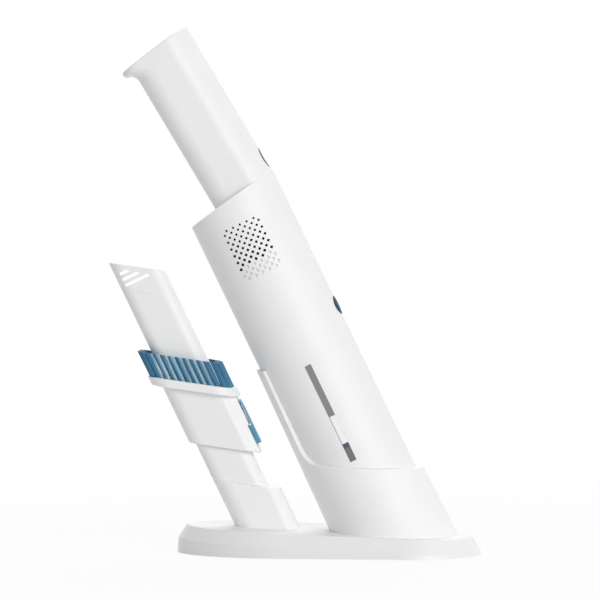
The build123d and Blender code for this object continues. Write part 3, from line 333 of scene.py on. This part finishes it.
def circuit_board(name):
    """Solder mask over copper tracks: two greens in a grid of straight runs, with tinned lands."""
    material, tree, place = new_finish(name)
    cells = {"Vector": place, "Scale": TRACKS, "Randomness": TRACK_STRAY}
    tracks = tree.node("ShaderNodeTexVoronoi", {"distance": "CHEBYCHEV"}, cells, "Distance")
    masked = (tracks > TRACK_EDGE).mix(shade(0.012, 0.13, 0.05), shade(0.02, 0.2, 0.075))
    lands = tracks < LAND_EDGE
    tint = lands.mix(masked, shade(0.6, 0.6, 0.58))
    finish_of(tree, tint, MASK_ROUGHNESS - lands * LAND_GLOSS, tracks, MASK_DEPTH)
    return material


solder_mask = circuit_board("solder_mask")
dress(solder_mask, "dock_board")


# Screws: pan heads with a cross recess, zinc plated, driven up through the dock's plate and in
# from the back of the handle. One pattern is set at each place, with its own head height.
class Pattern(Wire):
    """A Geometry Nodes tree with named sizes, worked out once into a plain mesh."""

    def __init__(self, name, **sizes):
        super().__init__(bpy.data.node_groups.new(name, "GeometryNodeTree"))
        self.name = name
        self.sizes = sizes
        self.keys = {}
        self.tree.interface.new_socket("Geometry", in_out="OUTPUT", socket_type="NodeSocketGeometry")
        for label, value in sizes.items():
            kind = "NodeSocketInt" if isinstance(value, int) else "NodeSocketFloat"
            made = self.tree.interface.new_socket(label, in_out="INPUT", socket_type=kind)
            self.keys[label] = made.identifier
        self.entry = self.tree.nodes.new("NodeGroupInput")

    def size(self, label):
        return Wire(self.tree, self.entry.outputs[label])

    def point(self, x=0.0, y=0.0, z=0.0):
        return self.node("ShaderNodeCombineXYZ", {}, {0: x, 1: y, 2: z})

    def piece(self, shape, material, place):
        """Runs the tree and returns its mesh as an object in the row frame."""
        whole = self.node("GeometryNodeRealizeInstances", {}, {"Geometry": shape})
        painted = self.node("GeometryNodeSetMaterial", {}, {"Geometry": whole, "Material": material})
        exit_node = self.tree.nodes.new("NodeGroupOutput")
        self.tree.links.new(painted.socket, exit_node.inputs[0])
        host = bpy.data.objects.new(self.name, bpy.data.meshes.new(self.name + "_host"))
        scene.collection.objects.link(host)
        grower = host.modifiers.new("grower", "NODES")
        grower.node_group = self.tree
        for label, value in self.sizes.items():
            grower[self.keys[label]] = value
        graph = bpy.context.evaluated_depsgraph_get()
        mesh = bpy.data.meshes.new_from_object(host.evaluated_get(graph))
        host.modifiers.remove(grower)
        host.data = mesh
        mesh.transform(place)
        return host


MM = 0.001
SCREW_FACES = 24
RIM_SHARE = 0.7
CROWN_SHARE = 0.3
CROWN_RADIUS = 0.72
RECESS_LONG = 1.15
RECESS_WIDE = 0.26


def screw_set(name, places, radius, head, shank, length, material, place):
    """Screws at places on a plane, heads standing up along +Z from the plane."""
    kit = Pattern(name, head_radius=radius, head_height=head, shank_radius=shank, shank_length=length)
    wide = kit.size("head_radius")
    high = kit.size("head_height")
    deep = kit.size("shank_length")

    def lifted(shape, height):
        sockets = {"Geometry": shape, "Translation": kit.point(z=height)}
        return kit.node("GeometryNodeTransform", {}, sockets)

    rim = {"Vertices": SCREW_FACES, "Radius": wide, "Depth": high * RIM_SHARE}
    low = lifted(kit.node("GeometryNodeMeshCylinder", {}, rim), high * (RIM_SHARE * HALF))
    slope = {
        "Vertices": SCREW_FACES,
        "Radius Top": wide * CROWN_RADIUS,
        "Radius Bottom": wide,
        "Depth": high * CROWN_SHARE,
    }
    crown = lifted(kit.node("GeometryNodeMeshCone", {}, slope), high * RIM_SHARE)
    solid = kit.node("GeometryNodeMeshBoolean", {"operation": "UNION"}, {"Mesh 2": [low, crown]})
    bars = []
    for across, along in ((RECESS_LONG, RECESS_WIDE), (RECESS_WIDE, RECESS_LONG)):
        bar = kit.node("GeometryNodeMeshCube", {}, {"Size": kit.point(wide * across, wide * along, high)})
        bars.append(lifted(bar, high))
    cut = {"Mesh 1": solid, "Mesh 2": bars}
    solid = kit.node("GeometryNodeMeshBoolean", {"operation": "DIFFERENCE"}, cut)
    stem = {"Vertices": SCREW_FACES, "Radius": kit.size("shank_radius"), "Depth": deep}
    stem = lifted(kit.node("GeometryNodeMeshCylinder", {}, stem), deep * -HALF)
    one = kit.node("GeometryNodeJoinGeometry", {}, {"Geometry": [solid, stem]})
    spots = [
        kit.node("GeometryNodeTransform", {}, {"Geometry": one, "Translation": Vector((x, y, 0)) * MM})
        for x, y in places
    ]
    every = kit.node("GeometryNodeJoinGeometry", {}, {"Geometry": spots})
    return kit.piece(every, material, place)


def shifted(x, y, z):
    """A move by millimetres."""
    return Matrix.Translation(Vector((x, y, z)) * MM)


SCREW_HEAD = 2.6 * MM
SCREW_SHANK = 1.3 * MM
DOCK_SCREW_HEIGHT = 1.2 * MM
DOCK_SCREW_LENGTH = 5.8 * MM
DOCK_SCREW_SEAT = 1.7
DOCK_SCREW_PLACES = ((85, 22), (85, -22), (-80, 18), (-80, -18))
UPSIDE_DOWN = Matrix.Rotation(math.radians(180), 4, "X")

dock_screws = screw_set(
    "dock_screw_set",
    DOCK_SCREW_PLACES,
    SCREW_HEAD,
    DOCK_SCREW_HEIGHT,
    SCREW_SHANK,
    DOCK_SCREW_LENGTH,
    bright_steel,
    shifted(0, 0, DOCK_SCREW_SEAT) @ UPSIDE_DOWN,
)
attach(dock_screws, "dock")
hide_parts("dock_screws")


# Cradle: a leaning cup with a tall spine, moulded in white and fixed to the dock's top. Two
# sprung brass studs stand in a dark block near the top of the spine.
cradle_white = moulded("cradle_white", (0.93, 0.931, 0.933), 0.55, 1600, 0.000008)
dress(cradle_white, "vacuum_cradle")
dress(dark_plastic, "contact_block")
dress(plated_brass, "charge_contacts")


# Tool holder: a short leaning socket with a prow, moulded like the cradle. The nozzle's spigot
# stands in it.
dress(cradle_white, "tool_holder")


# Dust cup: the lower barrel of the vacuum, glossy white, with a clear strip let into its near
# side. The strip is painted with what shows through it: the grey filter, its white collar, a
# violet seal and the dark cup, with painted shade between the pleats and on the collar's left edge.
shell_white = moulded("shell_white", (0.905, 0.906, 0.908), 0.5, 1400, 0.000008)
dress(shell_white, "dust_cup")

LEAN_ANGLE = math.radians(25.8)
LEAN = Matrix.Rotation(-LEAN_ANGLE, 4, "Y")
VACUUM = shifted(44.6, 0, 17) @ LEAN
WINDOW_TURN = (0, LEAN_ANGLE, 0)
COLLAR_TOP = 92.5 * MM
COLLAR_FOOT = 71.3 * MM
SEAL_FOOT = 67.9 * MM
STRIP_SHADOW = -1.75 * MM
PLEATS = 260
PLEAT_WAVER = 0.4
STRIP_ROUGHNESS = 0.22
STRIP_MARKS = 300
STRIP_MARK_GLOSS = 0.06


def level_strip(name):
    """The clear strip, painted by height along the barrel with what lies behind it, and with painted shade
    between the pleats and on the left edge of the collar.
    """
    material, tree, place = new_finish(name)
    shift = {"Vector": place, "Location": -VACUUM.translation}
    moved = tree.node("ShaderNodeMapping", {"vector_type": "POINT"}, shift)
    turned = tree.node("ShaderNodeMapping", {}, {"Vector": moved, "Rotation": WINDOW_TURN})
    spot = tree.node("ShaderNodeSeparateXYZ", {}, {0: turned})
    height = spot.pick("Z")
    across = spot.pick("X")
    waves = {"Vector": turned, "Scale": PLEATS, "Distortion": PLEAT_WAVER}
    # Painted shade: the pleats are two bands of grey, the darker one standing for the shade in their folds.
    painted_pleat_shade = tree.node("ShaderNodeTexWave", {"bands_direction": "Z"}, waves, "Fac")
    felt = painted_pleat_shade.mix(shade(0.2, 0.2, 0.2), shade(0.26, 0.26, 0.26))
    # Painted shade: left of STRIP_SHADOW the white collar is painted grey.
    collar = (across < STRIP_SHADOW).mix(shade(0.97, 0.97, 0.975), shade(0.45, 0.44, 0.5))
    tint = (height < COLLAR_TOP).mix(felt, collar)
    tint = (height < COLLAR_FOOT).mix(tint, shade(0.065, 0.055, 0.13))
    tint = (height < SEAL_FOOT).mix(tint, shade(0.15, 0.15, 0.15))
    gloss = STRIP_ROUGHNESS + speckle(tree, place, STRIP_MARKS) * STRIP_MARK_GLOSS
    finish_of(tree, tint, gloss, None, 0, Coat_Weight=0.5, Coat_Roughness=0.08)
    return material


dress(level_strip("level_strip"), "window_lens")
dress(dark_plastic, "inlet_duct", "inlet_flap")
dress(bright_steel, "flap_pin")


# Filter: a white collar with a pleated grey element above it and a soft violet seal below,
# hung under the motor and pulled out downwards.
inner_white = moulded("inner_white", (0.82, 0.82, 0.815), 0.5, 1000, 0.00003)
dress(inner_white, "filter_frame")


THREADS = 1500
THREAD_DETAIL = 6
THREAD_LAY = (1, 1, 0.3)
THREAD_DEEPER = 0.7
THREAD_PALER = 1.3
THREAD_DEPTH = 0.0002
FELT_ROUGHNESS = 0.85
THREAD_ROUGHNESS = 0.1
SEAL_RIBS = 300


def felt(name, colour):
    """Pressed fibre: short random threads in the colour and the surface."""
    material, tree, place = new_finish(name)
    lay = tree.node("ShaderNodeMapping", {}, {"Vector": place, "Scale": THREAD_LAY})
    threads = speckle(tree, lay, THREADS, THREAD_DETAIL)
    tint = threads.mix(lighter(colour, THREAD_DEEPER), lighter(colour, THREAD_PALER))
    finish_of(tree, tint, FELT_ROUGHNESS + threads * THREAD_ROUGHNESS, threads, THREAD_DEPTH)
    return material


dress(felt("grey_felt", (0.24, 0.24, 0.24)), "filter_element")
dress(ribbed_rubber("violet_rubber", (0.06, 0.05, 0.13), SEAL_RIBS), "filter_seal")


# Motor and fan: a steel can in a white housing, held by a rubber ring, with a dark fan on its
# shaft. Above it a sleeve of dark foam lies behind the grille and catches the last dust; its
# near-black colour is in part painted shade for the dark space behind the grille.
dress(inner_white, "motor_bulkhead", "motor_housing")
dress(worked_metal("rolled_can", (0.5, 0.5, 0.51), 0.36, (1, 1, 0.1)), "motor_can")
dress(dark_rubber, "motor_mount_ring")
dress(bright_steel, "motor_shaft")
dress(dark_plastic, "impeller")

FOAM_LOW = 215
FOAM_HIGH = 248
FOAM_SLOPE = 0.17
FOAM_RADIUS = 32.2
FOAM_THICKNESS = 3.2
FOAM_STEPS = 40
FOAM_CELLS = 1300
FOAM_CELL_DEPTH = 0.0004
FOAM_CELL_ROUGHNESS = 0.1
FOAM_ROUGHNESS = 0.9
FOAM_LUMPS = 900
FOAM_LUMP_DETAIL = 3


def foam_with_painted_shade(name):
    """Dark foam, coloured near black in part as painted shade behind the grille, and blacker in the hollows
    of its cells as painted shade.
    """
    material, tree, place = new_finish(name)
    cells = tree.node("ShaderNodeTexVoronoi", {}, {"Vector": place, "Scale": FOAM_CELLS}, "Distance")
    tint = cells.mix(shade(0.004, 0.004, 0.004), shade(0.035, 0.03, 0.028))
    finish_of(tree, tint, FOAM_ROUGHNESS + cells * FOAM_CELL_ROUGHNESS, cells, FOAM_CELL_DEPTH)
    return material


foam_kit = Pattern(
    "exhaust_foam",
    radius=(FOAM_RADIUS - FOAM_THICKNESS * HALF) * MM,
    thickness=FOAM_THICKNESS * MM,
    height=(FOAM_HIGH - FOAM_LOW) * MM,
    lumps=0.25 * MM,
    rings=96,
)
round_ring = {"Resolution": foam_kit.size("rings"), "Radius": foam_kit.size("radius")}
ring = foam_kit.node("GeometryNodeCurvePrimitiveCircle", {}, round_ring)
wall = {"Width": foam_kit.size("thickness"), "Height": foam_kit.size("height")}
wall = foam_kit.node("GeometryNodeCurvePrimitiveQuadrilateral", {}, wall)
wall = foam_kit.node("GeometryNodeResampleCurve", {}, {"Curve": wall, "Count": FOAM_STEPS})
sleeve = foam_kit.node("GeometryNodeCurveToMesh", {}, {"Curve": ring, "Profile Curve": wall})
spread = foam_kit.node("ShaderNodeTexNoise", {}, {"Scale": FOAM_LUMPS, "Detail": FOAM_LUMP_DETAIL})
push = {0: foam_kit.node("GeometryNodeInputNormal"), "Scale": (spread - HALF) * foam_kit.size("lumps")}
push = foam_kit.node("ShaderNodeVectorMath", {"operation": "SCALE"}, push)
sleeve = foam_kit.node("GeometryNodeSetPosition", {}, {"Geometry": sleeve, "Offset": push})
foam_spot = foam_kit.node("ShaderNodeSeparateXYZ", {}, {0: foam_kit.node("GeometryNodeInputPosition")})
foam_rise = foam_kit.point(z=foam_spot.pick("X") * FOAM_SLOPE)
sleeve = foam_kit.node("GeometryNodeSetPosition", {}, {"Geometry": sleeve, "Offset": foam_rise})
foam_middle = shifted(0, 0, (FOAM_LOW + FOAM_HIGH) * HALF)
exhaust_foam = foam_kit.piece(sleeve, foam_with_painted_shade("dark_foam"), VACUUM @ foam_middle)
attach(exhaust_foam, "main_unit")
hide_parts("exhaust_filter")


# Battery and controls in the handle: two sleeved cells in a dark frame, and a board with the
# switch that the power button pushes.
cell_sleeve = moulded("cell_sleeve", (0.03, 0.2, 0.17), 0.3, 700, 0.00002)
dress(cell_sleeve, "battery_cell_left", "battery_cell_right")
dress(dark_plastic, "battery_holder", "power_switch")
dress(solder_mask, "control_board")


# Body: two glossy white half shells from the cup's seam to the top of the handle, drawn together
# by two screws from the back, with a plug in the open top and brass pads for charging.
dress(shell_white, "body_shell_front", "body_shell_back", "handle_cap")
dress(plated_brass, "charge_pads")

HANDLE_TILT = math.radians(5.1)
HANDLE = VACUUM @ shifted(5.5, 0, 321.9) @ Matrix.Rotation(-HANDLE_TILT, 4, "Y")
FACING_BACK = Matrix.Rotation(math.radians(-90), 4, "X")
HANDLE_SCREW_HEIGHT = 2.6 * MM
HANDLE_SCREW_LENGTH = 28 * MM
HANDLE_SCREW_SEAT = 19
HANDLE_SCREW_PLACES = ((-8, 28), (0, -50))

handle_screws = screw_set(
    "handle_screw_set",
    HANDLE_SCREW_PLACES,
    SCREW_HEAD,
    HANDLE_SCREW_HEIGHT,
    SCREW_SHANK,
    HANDLE_SCREW_LENGTH,
    bright_steel,
    HANDLE @ shifted(0, HANDLE_SCREW_SEAT, 0) @ FACING_BACK,
)
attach(handle_screws, "main_unit")
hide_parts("handle_screws")


# Buttons: two slate-blue ovals that stand just proud of the shell, one on the handle for power
# and one on the barrel to let go of the cup. A small coil spring pushes the lower one out.
button_blue = moulded("button_blue", (0.02, 0.07, 0.12), 0.55, 1800, 0.00001, Specular_IOR_Level=0.05)
dress(button_blue, "power_button", "release_button")


COIL_STEPS = 20
WIRE_FACES = 8
WIRE_RADIUS = 0.26 * MM


def coil(name, radius, length, turns, place, body, node):
    """A round-wire spring along +Z that stands for a plain sleeve."""
    kit = Pattern(name, radius=radius, wire=WIRE_RADIUS, length=length, turns=turns)
    turning = {
        "Resolution": COIL_STEPS,
        "Rotations": kit.size("turns"),
        "Start Radius": kit.size("radius"),
        "End Radius": kit.size("radius"),
        "Height": kit.size("length"),
    }
    line = kit.node("GeometryNodeCurveSpiral", {}, turning)
    wire = {"Resolution": WIRE_FACES, "Radius": kit.size("wire")}
    section = kit.node("GeometryNodeCurvePrimitiveCircle", {}, wire)
    drawn = {"Curve": line, "Profile Curve": section, "Fill Caps": True}
    bent = kit.node("GeometryNodeCurveToMesh", {}, drawn)
    spring = kit.piece(bent, bright_steel, place)
    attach(spring, body)
    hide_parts(node)


ACROSS = Matrix.Rotation(math.radians(90), 4, "Y")
RELEASE_RADIUS = 1.72 * MM
RELEASE_LENGTH = 9.7 * MM
RELEASE_TURNS = 7.0
RELEASE_PLACE = VACUUM @ shifted(21.8, 0, 161.4) @ ACROSS
coil(
    "release_coil",
    RELEASE_RADIUS,
    RELEASE_LENGTH,
    RELEASE_TURNS,
    RELEASE_PLACE,
    "main_unit",
    "release_spring",
)


# Crevice nozzle: a flat white tube, cut on the slant at its tip, with three bleed slots and a
# short raised rib under them, and a spigot that plugs into the vacuum's mouth.
tool_white = moulded("tool_white", (0.9, 0.902, 0.905), 0.45, 1500, 0.00003)
dress(tool_white, "crevice_nozzle")

TOOL = shifted(-48.6, 0, 19) @ LEAN
RIB_LENGTH = 13.5
RIB_WIDTH = 2.1
RIB_RISE = 0.45
RIB_SEAT = 0.4
RIB_BEVEL = 0.36
RIB_PLACE = (0, -9, 186)
RIB_ROUNDING = 3
SLANT = -0.669
RIB_TURN = math.atan(-SLANT)

rib_mesh = bpy.data.meshes.new("tip_rib")
rib_shape = bmesh.new()
bmesh.ops.create_cube(rib_shape, size=1)
rib_size = Matrix.Diagonal((RIB_LENGTH * MM, (RIB_RISE + RIB_SEAT) * MM, RIB_WIDTH * MM, 1))
rib_shape.transform(rib_size)
rib_edges = rib_shape.edges[:]
bmesh.ops.bevel(rib_shape, geom=rib_edges, offset=RIB_BEVEL * MM, segments=RIB_ROUNDING, affect="EDGES")
rib_drop = shifted(*RIB_PLACE) @ shifted(0, (RIB_SEAT - RIB_RISE) * HALF, 0)
rib_shape.transform(TOOL @ rib_drop @ Matrix.Rotation(RIB_TURN, 4, "Y"))
rib_shape.to_mesh(rib_mesh)
rib_shape.free()
rib_mesh.materials.append(tool_white)
tip_rib = bpy.data.objects.new("tip_rib", rib_mesh)
scene.collection.objects.link(tip_rib)
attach(tip_rib, "tool")


# Dusting brush: a white sleeve that slides on the nozzle, with a wide slanted flange. Tufts of
# blue nylon are stapled round the flange and trimmed parallel to it.
dress(tool_white, "brush_body")

FLANGE_TOP = 115.0
TUFTS = 32
PAINTED_LIGHT_SHARE = 0.74
CORNER_STEPS = 16
BACKING_SINK = -0.55
TUFT_FACES = 20
ROOT_DENSITY = 2e7
FILAMENT_STEPS = 3
FILAMENT_FACES = 5
NYLON_ROUGHNESS = 0.42
NYLON_TONE_ROUGHNESS = 0.15
NYLON_GRAIN = 2500
NYLON_DEPTH = 0.00002
MIDDLE = Vector((HALF, HALF, HALF))
END_PAINTED_LIGHT = 0.3
BRISTLE_NODES = (
    "bristles_front",
    "bristles_right_front",
    "bristles_right_back",
    "bristles_back",
    "bristles_left_back",
    "bristles_left_front",
)


def nylon(name):
    """Bundled filament in random depths of blue, with painted light on top: paler to the right of each tuft
    along the long sides, one darker painted value at the ends.
    """
    material, tree, place = new_finish(name)
    tone_and_painted_light = tree.node("ShaderNodeAttribute", {"attribute_name": "filament"}, {}, "Fac")
    blues_and_painted_light = [
        (0.0, shade(0.035, 0.16, 0.31)),
        (0.42, shade(0.075, 0.29, 0.49)),
        (0.68, shade(0.25, 0.53, 0.72)),
        (0.86, shade(0.78, 0.92, 0.98)),
    ]
    tint = tree.node("ShaderNodeValToRGB", {"stops": blues_and_painted_light}, {0: tone_and_painted_light})
    gloss = NYLON_ROUGHNESS + tone_and_painted_light * NYLON_TONE_ROUGHNESS
    finish_of(tree, tint, gloss, speckle(tree, place, NYLON_GRAIN), NYLON_DEPTH)
    return material


brush_kit = Pattern(
    "dusting_bristles",
    ring_width=45.7 * MM,
    ring_depth=28.5 * MM,
    ring_round=6 * MM,
    band=3.9 * MM,
    backing=1.9 * MM,
    tufts=TUFTS,
    front_reach=17 * MM,
    tuft_radius=1.8 * MM,
    filament_gap=0.36 * MM,
    filament_radius=0.2 * MM,
    filament_length=19.6 * MM,
    splay=0.03,
    seed=11,
)
size = brush_kit.size
outline = {"Width": size("ring_width"), "Height": size("ring_depth")}
ring = brush_kit.node("GeometryNodeCurvePrimitiveQuadrilateral", {}, outline)
corner = {"Curve": ring, "Count": CORNER_STEPS, "Radius": size("ring_round")}
ring = brush_kit.node("GeometryNodeFilletCurve", {"mode": "POLY"}, corner)
band = {"Width": size("band"), "Height": size("backing")}
band = brush_kit.node("GeometryNodeCurvePrimitiveQuadrilateral", {}, band)
backing = brush_kit.node("GeometryNodeCurveToMesh", {}, {"Curve": ring, "Profile Curve": band})
sink = brush_kit.point(z=size("backing") * BACKING_SINK)
backing = brush_kit.node("GeometryNodeTransform", {}, {"Geometry": backing, "Translation": sink})
spaced = {"Curve": ring, "Count": size("tufts")}
stations = brush_kit.node("GeometryNodeCurveToPoints", {"mode": "COUNT"}, spaced)
disc = {"Vertices": TUFT_FACES, "Radius": size("tuft_radius")}
disc = brush_kit.node("GeometryNodeMeshCircle", {"fill_type": "NGON"}, disc)
sown = {"Mesh": disc, "Distance Min": size("filament_gap"), "Density Max": ROOT_DENSITY, "Seed": size("seed")}
roots = brush_kit.node("GeometryNodeDistributePointsOnFaces", {"distribute_method": "POISSON"}, sown)
tip = brush_kit.point(z=size("filament_length"))
line = brush_kit.node("GeometryNodeCurvePrimitiveLine", {}, {"End": tip})
line = brush_kit.node("GeometryNodeResampleCurve", {}, {"Curve": line, "Count": FILAMENT_STEPS})
section = {"Resolution": FILAMENT_FACES, "Radius": size("filament_radius")}
section = brush_kit.node("GeometryNodeCurvePrimitiveCircle", {}, section)
drawn = {"Curve": line, "Profile Curve": section, "Fill Caps": True}
filament = brush_kit.node("GeometryNodeCurveToMesh", {}, drawn)


def marked(points, name, value):
    """Keeps a number on each point."""
    kept = {"Geometry": points, "Name": name, "Value": value}
    return brush_kit.node("GeometryNodeStoreNamedAttribute", {"data_type": "FLOAT", "domain": "POINT"}, kept)


# Painted light: each root keeps how far to the right it stands in its tuft, and the right side of every tuft
# is painted paler by it.
root_spot = brush_kit.node("ShaderNodeSeparateXYZ", {}, {0: brush_kit.node("GeometryNodeInputPosition")})
root_x = root_spot.pick("X")
roots = marked(roots, "side", brush_kit.maths("DIVIDE", root_x, size("tuft_radius")) * HALF + HALF)
root_sets = brush_kit.node("GeometryNodeInstanceOnPoints", {}, {"Points": stations, "Instance": roots})
all_roots = brush_kit.node("GeometryNodeRealizeInstances", {}, {"Geometry": root_sets})
tone = brush_kit.node("FunctionNodeRandomValue", {"data_type": "FLOAT"}, {"Seed": size("seed")}, 1)
side = brush_kit.node("GeometryNodeInputNamedAttribute", {"data_type": "FLOAT"}, {"Name": "side"})
# Painted light: only the tufts along the long sides get the paler right side; those at the ends get one
# fixed, darker painted value.
front = brush_kit.node("ShaderNodeMath", {"operation": "ABSOLUTE"}, {0: root_x}) < size("front_reach")
side = side * front + (1 - front) * END_PAINTED_LIGHT
# Painted light: the stored tone mixes a random depth of blue with the painted side light.
tone = tone * (1 - PAINTED_LIGHT_SHARE) + side * PAINTED_LIGHT_SHARE
all_roots = marked(all_roots, "filament", tone)
lean = brush_kit.node("FunctionNodeRandomValue", {"data_type": "FLOAT_VECTOR"}, {"Seed": size("seed") + 1})
lean = brush_kit.node("ShaderNodeVectorMath", {"operation": "SUBTRACT"}, {0: lean, 1: MIDDLE})
lean = brush_kit.node("ShaderNodeVectorMath", {"operation": "SCALE"}, {0: lean, "Scale": size("splay")})
planted = {"Points": all_roots, "Instance": filament, "Rotation": lean}
brush = brush_kit.node("GeometryNodeInstanceOnPoints", {}, planted)
brush = brush_kit.node("GeometryNodeRealizeInstances", {}, {"Geometry": brush})
brush = brush_kit.node("GeometryNodeJoinGeometry", {}, {"Geometry": [brush, backing]})
slanted = brush_kit.point(z=root_x * SLANT)
brush = brush_kit.node("GeometryNodeSetPosition", {}, {"Geometry": brush, "Offset": slanted})
bristles = brush_kit.piece(brush, nylon("blue_nylon"), TOOL @ shifted(0, 0, FLANGE_TOP))
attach(bristles, "brush_unit")
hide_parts(*BRISTLE_NODES)


# Latch: a blue finger lever on the brush's prow, on a steel pin, with a coil spring behind its
# pad. Pressing the pad frees the brush to slide towards the tip.
lever_blue = moulded("lever_blue", (0.078, 0.292, 0.479), 0.38, 1600, 0.00003)
dress(lever_blue, "latch_lever")
dress(bright_steel, "latch_pin")
LATCH_RADIUS = 1.52 * MM
LATCH_LENGTH = 3.3 * MM
LATCH_TURNS = 4.0
LATCH_PLACE = TOOL @ shifted(19.3, 0, 61) @ ACROSS
coil("latch_coil", LATCH_RADIUS, LATCH_LENGTH, LATCH_TURNS, LATCH_PLACE, "brush_unit", "latch_spring")
